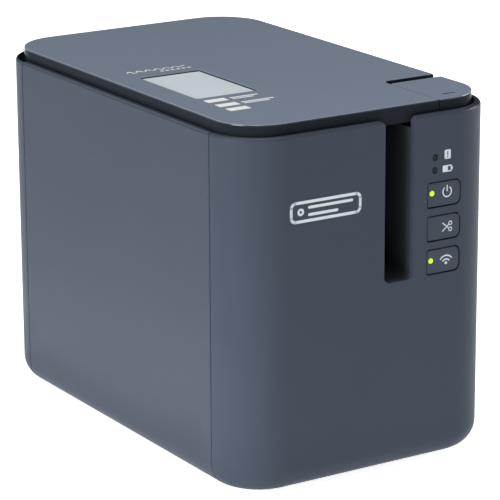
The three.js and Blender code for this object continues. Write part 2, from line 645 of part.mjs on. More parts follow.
const SPINDLE = { radius: 3, top: 122 };
add('ribbon_spindle', cut(
  join(
    gearSolid(ribbonGear, ...LEVEL_B),
    rod('z', ribbonGear.x, ribbonGear.y, SPINDLE.radius, LEVEL_B[0], SPINDLE.top, 12),
    box(ribbonGear.x - 3.8, ribbonGear.x + 3.8, ribbonGear.y - 0.6, ribbonGear.y + 0.6,
      CASSETTE.z0 + 5, SPINDLE.top),
  ),
  rod('z', ribbonGear.x, ribbonGear.y, STUD_BORE, 0, WELL.floor + GAP, 12),
), ACETAL);

const SHAFT = { radius: 1.5, bore: 1.8, top: 130.6 };
const ROLLERS = [
  ['platen', platenGear, LEVEL_B],
  ['feed_roller', feedGear, LEVEL_A],
];
for (const [name, gear, level] of ROLLERS) {
  add(`${name}_shaft`, join(
    gearSolid(gear, ...level),
    rod('z', gear.x, gear.y, SHAFT.radius, level[0], SHAFT.top, 12),
  ), STEEL);
  add(`${name}_sleeve`, cut(
    rod('z', gear.x, gear.y, gear.radius, ROLLER.z0, ROLLER.z1),
    rod('z', gear.x, gear.y, SHAFT.bore, 0, HEIGHT, 12),
  ), RUBBER);
}

/** Arm of the roller holder in plan, from the pivot past both rollers. */
function holderArm(z0, z1) {
  return prism('z', polygon([
    [HOLDER_PIVOT.x - 4, HOLDER_PIVOT.y + 4], [FEED.x - 2.6, FEED.y + 14],
    [FEED.x - 2.6, FEED.y - 3.4], [FEED.x + 6, FEED.y - 3.4],
    [transferGear.x + 3, transferGear.y - 3], [transferGear.x + 3, transferGear.y + 4],
    [HOLDER_PIVOT.x + 4, HOLDER_PIVOT.y + 4],
  ]), z0, z1);
}
const HOLDER = { low: [86, 87.7], high: [128, 130] };
const holderBack = prism('z', polygon([
  [FEED.x + 7.5, FEED.y - 2], [transferGear.x + 3, transferGear.y - 2],
  [HOLDER_PIVOT.x + 4, HOLDER_PIVOT.y + 4], [HOLDER_PIVOT.x + 2.2, HOLDER_PIVOT.y + 3],
  [transferGear.x - 1, transferGear.y + 3],
]), HOLDER.low[0], HOLDER.high[1]);
add('roller_holder', cut(
  join(
    holderArm(...HOLDER.low),
    holderArm(...HOLDER.high),
    holderBack,
    rod('z', transferGear.x, transferGear.y, STUD, LEVEL_A[0], HOLDER.low[0] + CUT, 12),
  ),
  rod('z', PLATEN.x, PLATEN.y, SHAFT.bore, 0, HEIGHT, 12),
  rod('z', FEED.x, FEED.y, SHAFT.bore, 0, HEIGHT, 12),
  rod('z', HOLDER_PIVOT.x, HOLDER_PIVOT.y, STUD_BORE, 0, HEIGHT, 12),
), ALUMINIUM);

// Print head on its heat sink, facing the platen across the tape.

const HEAD = { x: [8.3, 9.5], y: [-54, -38], z: [88, 127] };
add('print_head', box(...HEAD.x, ...HEAD.y, ...HEAD.z), WHITE);
add('head_heat_sink', box(4, 8, -58, -36.3, WELL.floor + GAP, 128), ALUMINIUM);

// Cutter: a fixed blade and a blade that a gear pair swings across the tape.

const pivotY = (radius, from, to) => rod('y', CUTTER.x, CUTTER.z, radius, from, to, 12);
const cutterReach = ((CUTTER.teeth + CUTTER.pinion) * CUTTER.module) / 2 + MESH_SLACK;
const pinionZ = CUTTER.z - cutterReach;

add('cutter_frame', cut(
  join(
    box(-1.5, 8, ...FRAME_PLATE, 84, 130),
    box(-1.5, 35, ...FRAME_PLATE, 52, 86),
    pivotY(1.5, FRAME_PLATE[1] - CUT / 2, MOVING_BLADE[1] + 1),
  ),
  rod('y', CUTTER.x, pinionZ, 3, -DEPTH, 0, 12),
  rod('y', ...CUTTER_BOSS, SCREW.hole, -DEPTH, 0, 12),
), STEEL);
const screwFace = FRAME_PLATE[1] + GAP;
add('cutter_screw', join(
  rod('y', ...CUTTER_BOSS, SCREW.head, screwFace, screwFace + 1.2, 12),
  rod('y', ...CUTTER_BOSS, SCREW.shaft - GAP, WELL.y0 + CUT, screwFace + CUT / 2, 12),
), STEEL);
add('fixed_blade', box(2.5, TAPE_X, ...FIXED_BLADE, 86, 130), STEEL);

const sector = prism('y', gearPlan(CUTTER.teeth, CUTTER.module, -Math.PI / 2), ...MOVING_BLADE)
  .intersect(box(-20, 20, -DEPTH, 0, -20, 4));
const blade = prism('y', polygon([[-3.4, 3], [4.5, 3], [4.5, 46], [1, 50], [-3.4, 50]]), ...MOVING_BLADE);
add('moving_blade', cut(join(sector, blade), rod('y', 0, 0, 1.8, -DEPTH, 0, 12)), STEEL, {
  position: [CUTTER.x, 0, CUTTER.z],
  rotation: [0, THREE.MathUtils.degToRad(CUTTER.open), 0],
});

const bladeGear = {
  x: 0, y: 0, teeth: CUTTER.teeth, phase: -Math.PI / 2 - THREE.MathUtils.degToRad(CUTTER.open),
};
const pinionPhase = meshPhase(bladeGear, { x: 0, y: -1, teeth: CUTTER.pinion });
const CUTTER_MOTOR = { radius: 9, y: [-92, FRAME_PLATE[0] - GAP] };
add('cutter_motor', cut(
  rod('y', CUTTER.x, pinionZ, CUTTER_MOTOR.radius, ...CUTTER_MOTOR.y),
  rod('y', CUTTER.x, pinionZ, 2.3, CUTTER_MOTOR.y[1] - 6, 0, 12),
), STEEL);
add('cutter_pinion', join(
  prism('y', gearPlan(CUTTER.pinion, CUTTER.module, pinionPhase), ...MOVING_BLADE),
  rod('y', 0, 0, 2, CUTTER_MOTOR.y[1] - 5, MOVING_BLADE[0] + CUT / 2, 12),
), STEEL, { position: [CUTTER.x, 0, pinionZ] });

// Tape cassette: case, lid, tape roll and the two ribbon spools.

const cassettePlan = (inset) => roundedRect(CASSETTE.x0 + inset, CASSETTE.y0 + inset,
  CASSETTE.x1 - inset, CASSETTE.y1 - inset, 3 - inset);
const cassetteArm = (inset) => roundedRect(CASSETTE.x1 - 6, -33 + inset, 10 - inset, -20 - inset, 1);
const lidZ = CASSETTE.z1 - CASSETTE.lid;
const caseOuter = join(
  prism('z', cassettePlan(0), CASSETTE.z0, lidZ - GAP),
  prism('z', cassetteArm(0), CASSETTE.z0, lidZ - GAP),
);
const caseInner = join(
  prism('z', cassettePlan(CASSETTE.wall), CASSETTE.z0 + CASSETTE.wall, HEIGHT),
  prism('z', cassetteArm(CASSETTE.wall), CASSETTE.z0 + CASSETTE.wall, HEIGHT),
);
const hub = ({ x, y, bore }) => rod('z', x, y, bore - 0.5, CASSETTE.z0 + 0.5, lidZ - 2, 18);
add('cassette_case', cut(
  join(cut(caseOuter, caseInner), hub(TAPE_ROLL), hub(RIBBON)),
  rod('z', ribbonGear.x, ribbonGear.y, 6.5, 0, CASSETTE.z0 + 4),
  box(7.4, 9, -34, -31, 90, 126),
), ACETAL);
add('cassette_lid', join(
  prism('z', cassettePlan(0), lidZ, CASSETTE.z1),
  prism('z', cassetteArm(0), lidZ, CASSETTE.z1),
), ACETAL);

function spool({ x, y, radius, bore }, from, to) {
  return cut(rod('z', x, y, radius, from, to, 24), rod('z', x, y, bore, 0, HEIGHT, 18));
}
add('label_tape_roll', spool(TAPE_ROLL, 89.5, 126), WHITE);
add('ribbon_supply_spool', spool(RIBBON, 89.5, 126), FILM);
add('ribbon_take_up_spool', spool({ x: ribbonGear.x, y: ribbonGear.y, radius: 8, bore: 4.3 },
  90.5, 121), FILM);

// Electronics: the main board at the rear and the sockets on it.

const MAIN_BOARD = { x0: -42, x1: 42, y0: 46, y1: 84, z: 12 };
add('main_board', join(
  box(MAIN_BOARD.x0, MAIN_BOARD.x1, MAIN_BOARD.y0, MAIN_BOARD.y1, MAIN_BOARD.z,
    MAIN_BOARD.z + BOARD_THICK),
  box(-20, 0, 52, 70, MAIN_BOARD.z + 1, MAIN_BOARD.z + 4),
  box(14, 30, 50, 64, MAIN_BOARD.z + 1, MAIN_BOARD.z + 12),
), BOARD);

const SOCKET_Y = [80, REAR - 0.4];
const onBoard = MAIN_BOARD.z + BOARD_THICK + GAP;
const { dc, usb, serial } = SOCKETS;
add('dc_socket', join(
  cut(
    join(
      rod('y', dc.x, dc.z, dc.radius, ...SOCKET_Y),
      box(dc.x - 4, dc.x + 4, SOCKET_Y[0], REAR - WALL - CUT, onBoard, dc.z),
    ),
    rod('y', dc.x, dc.z, 3.2, SOCKET_Y[0] + 4, REAR + CUT),
  ),
  rod('y', dc.x, dc.z, 1, SOCKET_Y[0] + 2, SOCKET_Y[1] - 1, 12),
), BLACK);
for (const [name, { x, z, wide, high, open }] of [['usb_socket', usb], ['serial_socket', serial]]) {
  add(name, cut(
    box(x - wide / 2, x + wide / 2, ...SOCKET_Y, z - high / 2, z + high / 2),
    box(x - open[0] / 2, x + open[0] / 2, SOCKET_Y[0] + 3, REAR + CUT,
      z - open[1] / 2, z + open[1] / 2),
  ), name === 'usb_socket' ? STEEL : BLACK);
}

export default labelMaker;
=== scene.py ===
import math

import bmesh
import bpy
from mathutils import Matrix, Vector


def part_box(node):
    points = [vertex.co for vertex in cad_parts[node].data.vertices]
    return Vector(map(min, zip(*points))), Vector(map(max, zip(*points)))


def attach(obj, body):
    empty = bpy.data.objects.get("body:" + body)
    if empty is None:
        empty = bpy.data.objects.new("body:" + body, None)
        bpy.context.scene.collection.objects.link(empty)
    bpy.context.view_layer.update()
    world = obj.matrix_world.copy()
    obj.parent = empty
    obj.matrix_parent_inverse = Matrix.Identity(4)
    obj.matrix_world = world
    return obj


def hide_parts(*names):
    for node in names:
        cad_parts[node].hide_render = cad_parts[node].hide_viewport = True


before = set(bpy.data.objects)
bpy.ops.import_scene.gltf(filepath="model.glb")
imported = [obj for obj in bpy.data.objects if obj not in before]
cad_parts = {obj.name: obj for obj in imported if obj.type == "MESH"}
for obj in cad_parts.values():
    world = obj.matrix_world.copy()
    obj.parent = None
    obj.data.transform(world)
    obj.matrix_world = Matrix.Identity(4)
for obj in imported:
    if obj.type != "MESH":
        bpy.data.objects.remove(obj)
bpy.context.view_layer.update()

bl_info = {
    "name": "Desktop label maker",
    "version": (1, 0, 0),
    "blender": (4, 5, 0),
    "location": "3D View > Sidebar > Label Maker",
    "description": "Builds the moulded shells, lid, keys and inner pieces of a desktop label maker",
    "category": "Object",
}

MM = 0.001


def span(node):
    """Lowest and highest corner of a CAD node."""
    low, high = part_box(node)
    return Vector(low), Vector(high)


def centre_of(node, plane="xz"):
    """Middle of a CAD node in a plane named by two axes."""
    low, high = span(node)
    return tuple((getattr(low, axis) + getattr(high, axis)) / 2 for axis in plane)


SHELL_LOW, SHELL_HIGH = span("front_shell")
BODY_X = span("right_side_panel")[1].x
BODY_Y = span("rear_shell")[1].y
RIM = SHELL_HIGH.z
UNDERSIDE = SHELL_LOW.z
SEAMS = (span("left_side_panel")[0].y, span("left_side_panel")[1].y)
TAB_LOW, TAB_HIGH = span("release_button")
TOP = span("top_cover")[1].z
LID_DEPTH = 7 * MM
LID_LOW = TAB_HIGH.z - LID_DEPTH
HINGE = (85.5 * MM, 142 * MM)     # y and z of the lid's axis
HINGE_X = 38 * MM                 # either side of the middle
HINGE_BORE = 1.35 * MM
CUT = MM                          # how far a cutter runs past a face
THROUGH = 4 * MM                  # depth that clears a moulded wall
KEY_GAP = 0.45 * MM
LAMP_GAP = 0.15 * MM
LID_GAP = 0.3 * MM                # round the release button and the window
SOCKET_GAP = 0.3 * MM
RELIEF_INSET = 0.8 * MM           # room for the rear of the lid as it swings
RELIEF_DEPTH = 4.6 * MM
SLOT_WALL = 1.4 * MM              # wall of the tape chute
SLOT_FLARE = 2.2 * MM             # flare of the slot at the rim
SLOT_ROUND = 2.5 * MM
DENT_DEPTH = 0.6 * MM             # dent in the release button


# ---- properties -------------------------------------------------------------

def length(name, description, default):
    return bpy.props.FloatProperty(
        name=name, description=description, default=default, min=0.0,
        subtype="DISTANCE", unit="LENGTH")


def colour(name, description, default):
    return bpy.props.FloatVectorProperty(
        name=name, description=description, default=default, size=3,
        min=0.0, max=1.0, subtype="COLOR")


class LabelMakerSizes(bpy.types.PropertyGroup):
    """Sizes of the moulded parts"""
    corner_front: length("Front corner", "Radius of the front upright edges", 22 * MM)
    corner_rear: length("Rear corner", "Radius of the rear upright edges", 24.5 * MM)
    bottom_round: length("Bottom round", "Radius between the sides and the underside", 10 * MM)
    flange: length("Flange", "Width of the flat part under the body", 6 * MM)
    wall: length("Wall", "Thickness of the moulded walls", 2.4 * MM)
    rim_round: length("Rim round", "Radius of the rim's outer edge", 1.3 * MM)
    part_gap: length("Seam", "Gap between two shell pieces", 0.5 * MM)
    edge: length("Edge", "Radius of a plain moulded edge", 0.25 * MM)
    slot_edge: length("Slot edge", "Radius of the tape slot's front edge", 0.8 * MM)
    cover_inset: length("Lid inset", "How far the lid stands in from the body's sides", 3.6 * MM)
    cover_edge: length("Lid edge", "Radius of the lid's top edge", 0.6 * MM)
    skirt: length("Skirt", "Wall thickness of the lid", 1.8 * MM)
    print_height: length("Ink", "Thickness of a printed mark", 0.04 * MM)


class LabelMakerColours(bpy.types.PropertyGroup):
    """Colours of the outside and of the inner mouldings"""
    shell: colour("Shell", "Moulded body", (0.0430, 0.0540, 0.0735))
    cover: colour("Lid", "Satin top of the lid and the release button", (0.200, 0.236, 0.298))
    band: colour("Lid band", "Glossy edge of the lid", (0.0150, 0.0192, 0.0265))
    inner: colour("Inner", "Dark inner mouldings", (0.013, 0.014, 0.016))
    window: colour("Window", "Frosted pane in the lid", (0.84, 0.93, 1.0))
    ink: colour("Ink", "Printed marks on the body", (0.54, 0.59, 0.63))
    lid_ink: colour("Lid ink", "Printed marks on the lid", (0.94, 0.97, 0.98))
    throat: colour("Throat", "Mouth of the tape channel", (0.045, 0.050, 0.060))
    lit: colour("Lit lamp", "Light pipe that is on", (0.40, 0.72, 0.01))


# ---- mesh helpers -----------------------------------------------------------

SAME_POINT = 1e-6        # points nearer than this are one point
AXES = {
    "z": Matrix.Identity(4),
    "y": Matrix(((1, 0, 0, 0), (0, 0, -1, 0), (0, 1, 0, 0), (0, 0, 0, 1))),
    "x": Matrix(((0, 0, 1, 0), (1, 0, 0, 0), (0, 1, 0, 0), (0, 0, 0, 1))),
}


def plate(bm, x0, x1, y0, y1, radii=(), segments=8):
    """Flat face with round corners, radii from the low left corner anticlockwise."""
    made = bmesh.ops.create_grid(bm, x_segments=1, y_segments=1, size=0.5)
    verts = made["verts"]
    for v in verts:
        v.co = Vector((x0 if v.co.x < 0 else x1, y0 if v.co.y < 0 else y1, 0))
    corners = [(x0, y0), (x1, y0), (x1, y1), (x0, y1)]
    order = [min(verts, key=lambda v: (v.co.xy - Vector(c)).length) for c in corners]
    for vert, radius in zip(order, radii):
        if radius > 0:
            bmesh.ops.bevel(
                bm, geom=[vert], offset=radius, offset_type="OFFSET", affect="VERTICES",
                segments=segments, profile=0.5, material=-1)
    return next(iter(bm.faces))


def extrude(bm, face, depth):
    """Closes a flat face into a prism along +Z."""
    result = bmesh.ops.extrude_face_region(bm, geom=[face])
    verts = [g for g in result["geom"] if isinstance(g, bmesh.types.BMVert)]
    bmesh.ops.translate(bm, verts=verts, vec=(0, 0, depth))


def place(bm, axis, start):
    """Turns geometry drawn in the plane to stand along an axis, from start."""
    bmesh.ops.transform(bm, matrix=AXES[axis], verts=bm.verts)
    along = Vector((axis == "x", axis == "y", axis == "z")) * start
    bmesh.ops.translate(bm, verts=bm.verts, vec=along)


def prism(axis, box, start, end, radii=(), segments=8):
    """Rounded plate of box (x0, x1, y0, y1) carried along an axis from start to end."""
    bm = bmesh.new()
    face = plate(bm, *box, radii, segments)
    extrude(bm, face, abs(end - start))
    place(bm, axis, max(start, end) if axis == "y" else min(start, end))
    tidy(bm)
    return bm


def tidy(bm):
    """Joins points that coincide and turns the faces outward."""
    bmesh.ops.remove_doubles(bm, verts=bm.verts, dist=SAME_POINT)
    bmesh.ops.recalc_face_normals(bm, faces=bm.faces)


def sharp_edges(bm, degrees, where=None):
    """Edges that bend by more than an angle, where a test allows them."""
    limit = math.radians(degrees)
    return [e for e in bm.edges
            if len(e.link_faces) == 2 and e.calc_face_angle(0) > limit
            and (where is None or where(e))]


def round_edges(bm, edges, radius, segments):
    bmesh.ops.bevel(
        bm, geom=edges, offset=radius, offset_type="OFFSET", affect="EDGES",
        segments=segments, profile=0.5, material=-1, clamp_overlap=True)


def middle(edge):
    """Point halfway along an edge."""
    return (edge.verts[0].co + edge.verts[1].co) / 2


def level(edge, z, slack=0.02 * MM):
    """True for an edge that lies at a height."""
    return all(abs(v.co.z - z) < slack for v in edge.verts)


def cylinder(axis, centre, radius, start, end, segments=32):
    """Round bar along an axis from start to end."""
    bm = bmesh.new()
    bmesh.ops.create_cone(
        bm, cap_ends=True, segments=segments, radius1=radius, radius2=radius,
        depth=end - start)
    bmesh.ops.translate(bm, verts=bm.verts, vec=(0, 0, (end - start) / 2))
    if axis == "y":
        bmesh.ops.transform(
            bm, matrix=Matrix.Rotation(math.radians(-90), 4, "X"), verts=bm.verts)
        bmesh.ops.translate(bm, verts=bm.verts, vec=(centre[0], start, centre[1]))
    elif axis == "x":
        bmesh.ops.transform(
            bm, matrix=Matrix.Rotation(math.radians(90), 4, "Y"), verts=bm.verts)
        bmesh.ops.translate(bm, verts=bm.verts, vec=(start, centre[0], centre[1]))
    else:
        bmesh.ops.translate(bm, verts=bm.verts, vec=(centre[0], centre[1], start))
    return bm


def merge(*parts):
    """One bmesh with the geometry of several, which are freed."""
    whole = bmesh.new()
    for part in parts:
        mesh = bpy.data.meshes.new("part")
        part.to_mesh(mesh)
        part.free()
        whole.from_mesh(mesh)
        bpy.data.meshes.remove(mesh)
    return whole


def boolean(bm, tools, operation="DIFFERENCE"):
    """bm joined with or cut by the tools, which are freed."""
    scene = bpy.context.scene
    objects = []
    for part in [bm, *tools]:
        mesh = bpy.data.meshes.new("work")
        part.to_mesh(mesh)
        part.free()
        ob = bpy.data.objects.new("work", mesh)
        scene.collection.objects.link(ob)
        objects.append(ob)
    target = objects[0]
    for tool in objects[1:]:
        step = target.modifiers.new("step", "BOOLEAN")
        step.operation = operation
        step.solver = "EXACT"
        step.object = tool
    depsgraph = bpy.context.evaluated_depsgraph_get()
    result = bmesh.new()
    result.from_mesh(target.evaluated_get(depsgraph).to_mesh())
    target.evaluated_get(depsgraph).to_mesh_clear()
    for ob in objects:
        mesh = ob.data
        bpy.data.objects.remove(ob)
        bpy.data.meshes.remove(mesh)
    bmesh.ops.remove_doubles(result, verts=result.verts, dist=SAME_POINT)
    return result


def piece(name, bm, material, body, replaces=(), smooth=35.0, weighted=True):
    """Links bm as a finished piece that rides on a body."""
    mesh = bpy.data.meshes.new(name)
    bm.to_mesh(mesh)
    bm.free()
    mesh.materials.append(material)
    mesh.shade_smooth()
    mesh.set_sharp_from_angle(angle=math.radians(smooth))
    ob = bpy.data.objects.new(name, mesh)
    bpy.context.scene.collection.objects.link(ob)
    if weighted:
        normals = ob.modifiers.new("even_shading", "WEIGHTED_NORMAL")
        normals.keep_sharp = True
        normals.weight = 100
    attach(ob, body)
    if replaces:
        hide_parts(*replaces)
    return ob


# ---- shader helpers ---------------------------------------------------------

class Value:
    """A shader socket that takes part in Python arithmetic."""

    def __init__(self, recipe, socket):
        self.recipe = recipe
        self.socket = socket

    def _math(self, operation, *terms):
        node = self.recipe.node("ShaderNodeMath", {"operation": operation}, dict(enumerate(terms)))
        return Value(self.recipe, node.outputs[0])

    def __add__(self, other):
        return self._math("ADD", self, other)

    __radd__ = __add__

    def __sub__(self, other):
        return self._math("SUBTRACT", self, other)

    def __rsub__(self, other):
        return self._math("SUBTRACT", other, self)

    def __mul__(self, other):
        return self._math("MULTIPLY", self, other)

    __rmul__ = __mul__

    def clamped(self):
        return self._math("MINIMUM", self._math("MAXIMUM", self, 0.0), 1.0)


class Recipe:
    """A Principled material and the nodes that vary it."""

    def __init__(self, name, **sockets):
        self.material = bpy.data.materials.new(name)
        self.material.use_nodes = True
        self.tree = self.material.node_tree
        self.shader = next(n for n in self.tree.nodes if n.type == "BSDF_PRINCIPLED")
        self.coordinates = self.node("ShaderNodeTexCoord").outputs["Object"]
        for socket, value in sockets.items():
            self.shader.inputs[socket.replace("_", " ")].default_value = value

    def node(self, kind, settings=None, inputs=None):
        node = self.tree.nodes.new(kind)
        for key, value in (settings or {}).items():
            setattr(node, key, value)
        for key, value in (inputs or {}).items():
            if isinstance(value, Value):
                value = value.socket
            if isinstance(value, bpy.types.NodeSocket):
                self.tree.links.new(value, node.inputs[key])
            else:
                node.inputs[key].default_value = value
        return node

    def drive(self, socket, value):
        """Links a varying value into a socket of the shader."""
        source = value.socket if isinstance(value, Value) else value
        self.tree.links.new(source, self.shader.inputs[socket])

    def noise(self, size, detail=2.0, roughness=0.5, stretch=None):
        """Noise whose features are about size metres across."""
        vector = self.coordinates
        if stretch:
            vector = self.node("ShaderNodeMapping", None, {
                "Vector": vector, "Scale": stretch}).outputs["Vector"]
        node = self.node("ShaderNodeTexNoise", None, {
            "Vector": vector, "Scale": 1 / size, "Detail": detail, "Roughness": roughness})
        return Value(self, node.outputs["Fac"])

    def axis(self, name):
        """Position along X, Y or Z in metres."""
        node = self.node("ShaderNodeSeparateXYZ", None, {"Vector": self.coordinates})
        return Value(self, node.outputs[name])

    def mix(self, factor, first, second):
        """Colour between first and second."""
        node = self.node("ShaderNodeMix", {"data_type": "RGBA"}, {0: factor})
        for index, value in ((6, first), (7, second)):
            if isinstance(value, bpy.types.NodeSocket):
                self.tree.links.new(value, node.inputs[index])
            else:
                node.inputs[index].default_value = (*value[:3], 1.0)
        return node.outputs[2]

    def bump(self, height, distance):
        """Raises the surface by a height between 0 and 1 times distance."""
        node = self.node("ShaderNodeBump", None, {
            "Height": height, "Distance": distance, "Strength": 1.0})
        self.tree.links.new(node.outputs["Normal"], self.shader.inputs["Normal"])


def scaled(rgb, factor):
    """Colour made lighter or darker."""
    return tuple(min(1.0, c * factor) for c in rgb)


def moulded(name, rgb, roughness, grain=0.35 * MM, depth=0.012 * MM, rim=None, **sockets):
    """Moulded plastic: fine spark grain, faint tone drift and handling marks in the gloss.

    Above the height given by rim the edge is rubbed smooth.
    """
    recipe = Recipe(name, **sockets)
    drift = recipe.noise(60 * MM, 3.0)
    speck = recipe.noise(grain, 1.0)
    recipe.drive("Base Color", recipe.mix(
        (drift * 0.6 + speck * 0.4).clamped(), scaled(rgb, 0.93), scaled(rgb, 1.07)))
    wipe = recipe.noise(18 * MM, 4.0, 0.6)
    recipe.drive("Roughness", roughness - 0.05 + wipe * 0.1)
    recipe.bump(speck, depth)
    if rim:
        recipe.drive("Coat Weight", ((recipe.axis("Z") - rim) * (1 / MM)).clamped() * 0.3)
    return recipe.material


def two_finish(name, top_rgb, band_rgb):
    """Lid plastic: satin with a fine grain on top, polished dark on the band round it; the top
    carries painted light, lighter toward the front.
    """
    recipe = Recipe(name, Specular_IOR_Level=0.01, Coat_IOR=1.7, Coat_Roughness=0.12)
    height = recipe.axis("Z")
    satin_from, satin_blend = TOP - 0.32 * MM, 0.06 * MM
    gloss_from, gloss_blend = TOP - 0.62 * MM, 0.05 * MM
    top = ((height - satin_from) * (1 / satin_blend)).clamped()
    edge = ((height - gloss_from) * (1 / gloss_blend)).clamped() * (1 - top)
    drift = recipe.noise(70 * MM, 3.0)
    speck = recipe.noise(0.3 * MM, 1.0)
    # Painted light: the top's tone runs from darker at the rear to lighter at the front.
    painted_light_toward_front = recipe.axis("Y") * (-0.5 / BODY_Y) + 0.5
    tone = recipe.mix((drift * 0.3 + speck * 0.2 + painted_light_toward_front * 0.5).clamped(),
                      scaled(top_rgb, 0.88), scaled(top_rgb, 1.07))
    recipe.drive("Base Color", recipe.mix(top, band_rgb, tone))
    wipe = recipe.noise(20 * MM, 4.0, 0.6)
    recipe.drive("Roughness", top * (0.34 + wipe * 0.08) + (1 - top) * (0.1 + wipe * 0.05))
    recipe.drive("Coat Weight", edge)
    recipe.bump(speck * top, 0.008 * MM)
    return recipe.material


def throat(name, rgb):
    """Chute plastic, dull at the mouth, with painted shade that darkens it further in."""
    recipe = Recipe(name, Specular_IOR_Level=0.2)
    # Painted shade: the colour falls from its full tone at the mouth to 0.42 of it about 13 mm into
    # the chute.
    painted_shade_from, blend = BODY_Y - 13 * MM, 12 * MM
    mouth = ((recipe.axis("Y") * -1.0 - painted_shade_from) * (1 / blend)).clamped()
    scuff = recipe.noise(2 * MM, 4.0, 0.6)
    recipe.drive("Base Color", recipe.mix(
        (mouth * (0.9 + scuff * 0.1)).clamped(), scaled(rgb, 0.42), rgb))
    recipe.drive("Roughness", 0.45 + scuff * 0.15)
    recipe.bump(recipe.noise(0.5 * MM, 1.0), 0.02 * MM)
    return recipe.material


def rubber(name, rgb, grain=0.5 * MM):
    """Matt rubber with a fine grain."""
    recipe = Recipe(name, IOR=1.45)
    speck = recipe.noise(grain, 3.0)
    recipe.drive("Base Color", recipe.mix(speck, scaled(rgb, 0.8), scaled(rgb, 1.25)))
    recipe.drive("Roughness", 0.78 + recipe.noise(6 * MM) * 0.14)
    recipe.bump(speck, 0.03 * MM)
    return recipe.material


def metal(name, rgb, roughness, stretch=(1.0, 1.0, 1.0), grain=0.4 * MM):
    """Metal with a directional finish and faint tarnish."""
    recipe = Recipe(name, Metallic=1.0)
    brush = recipe.noise(grain, 2.0, 0.6, stretch)
    tarnish = recipe.noise(14 * MM, 3.0)
    recipe.drive("Base Color", recipe.mix(tarnish, scaled(rgb, 0.86), scaled(rgb, 1.06)))
    recipe.drive("Roughness", roughness - 0.08 + brush * 0.16)
    recipe.bump(brush, 0.006 * MM)
    return recipe.material


def sheer(name, rgb, roughness, **sockets):
    """Smooth plastic with a faint ripple and dust."""
    recipe = Recipe(name, **sockets)
    dust = recipe.noise(0.8 * MM, 4.0, 0.7)
    recipe.drive("Base Color", recipe.mix(dust, scaled(rgb, 0.96), scaled(rgb, 1.04)))
    recipe.drive("Roughness", roughness + dust * 0.06)
    recipe.bump(recipe.noise(9 * MM, 1.0), 0.02 * MM)
    return recipe.material


CELLS_PER_METRE = 260.0


def circuit(name):
    """Solder mask over faint tracks, with bare pads."""
    recipe = Recipe(name, Roughness=0.35)
    cells = recipe.node("ShaderNodeTexVoronoi", {"feature": "DISTANCE_TO_EDGE"}, {
        "Vector": recipe.coordinates, "Scale": CELLS_PER_METRE})
    tracks = 1.0 - (Value(recipe, cells.outputs["Distance"]) * 9.0).clamped()
    recipe.drive("Base Color", recipe.mix(tracks, (0.008, 0.075, 0.035), (0.03, 0.17, 0.08)))
    recipe.bump(tracks, 0.03 * MM)
    return recipe.material


MATERIALS = {}


def finish(kind):
    """Material of that kind, made when first asked for."""
    if kind not in MATERIALS:
        tones = bpy.context.scene.label_maker_colours
        MATERIALS[kind] = {
            "shell": lambda: moulded(
                "shell_plastic", tones.shell, 0.42, rim=RIM - 1.2 * MM, Specular_IOR_Level=0.04,
                Coat_IOR=1.6, Coat_Roughness=0.22),
            "cover": lambda: two_finish("cover_plastic", tones.cover, tones.band),
            "throat": lambda: throat("throat_plastic", tones.throat),
            "key": lambda: moulded(
                "key_plastic", scaled(tones.shell, 0.97), 0.45, Specular_IOR_Level=0.1),
            "inner": lambda: moulded("inner_plastic", tones.inner, 0.5, 0.5 * MM, 0.02 * MM),
            "foot": lambda: rubber("foot_rubber", (0.012, 0.012, 0.012)),
            "roller": lambda: rubber("roller_rubber", (0.010, 0.010, 0.011), 0.2 * MM),
            "steel": lambda: metal("bright_steel", (0.56, 0.57, 0.58), 0.28),
            "contact": lambda: metal("contact_gold", (0.75, 0.55, 0.22), 0.25),
            "screw": lambda: metal("screw_steel", (0.42, 0.42, 0.42), 0.34),
            "sheet": lambda: metal("sheet_steel", (0.50, 0.51, 0.52), 0.36, (1.0, 0.06, 1.0)),
            "motor": lambda: metal("motor_steel", (0.40, 0.41, 0.42), 0.34, (1.0, 1.0, 0.05)),
            "sink": lambda: metal("heat_sink_aluminium", (0.60, 0.61, 0.62), 0.42),
            "ceramic": lambda: sheer("head_ceramic", (0.80, 0.78, 0.72), 0.18),
            "acetal": lambda: sheer("acetal", (0.74, 0.72, 0.66), 0.36),
            "cassette": lambda: sheer("cassette_plastic", (0.50, 0.55, 0.61), 0.24),
            "tape": lambda: wound_film("label_tape", (0.80, 0.80, 0.77)),
            "ribbon": lambda: wound_film("ribbon_film", (0.014, 0.014, 0.018)),
            "board": lambda: circuit("board"),
            "window": lambda: sheer("window_pane", tones.window, 0.16),
            "unlit": lambda: sheer(
                "lamp_dark", (0.008, 0.010, 0.013), 0.16, Specular_IOR_Level=0.15),
            "lit": lambda: lit_lamp(tones.lit),
            "ink": lambda: sheer("print_ink", tones.ink, 0.5),
            "lid_ink": lambda: sheer("lid_ink", tones.lid_ink, 0.5),
            # Dark ink for the status symbols' middles, also used as painted shade in the release
            # button's dent.
            "dark_ink_and_painted_shade": lambda: sheer("dark_ink_and_painted_shade", (0.012, 0.014, 0.02), 0.5),
        }[kind]()
    return MATERIALS[kind]


def wound_film(name, rgb):
    """Edge of wound film: fine rings up the height of the roll."""
    recipe = Recipe(name)
    turns = recipe.noise(0.3 * MM, 2.0, 0.6, (0.08, 0.08, 1.0))
    recipe.drive("Base Color", recipe.mix(turns, scaled(rgb, 0.9), scaled(rgb, 1.05)))
    recipe.drive("Roughness", 0.4 + turns * 0.15)
    recipe.bump(turns, 0.02 * MM)
    return recipe.material


def lit_lamp(rgb):
    """Light pipe that glows."""
    recipe = Recipe("lamp_lit", Emission_Strength=0.5, Roughness=0.25)
    glow = recipe.noise(1.5 * MM, 1.0)
    tone = recipe.mix(glow, scaled(rgb, 0.9), scaled(rgb, 1.05))
    recipe.drive("Base Color", tone)
    recipe.drive("Emission Color", tone)
    return recipe.material


# ---- shells -----------------------------------------------------------------

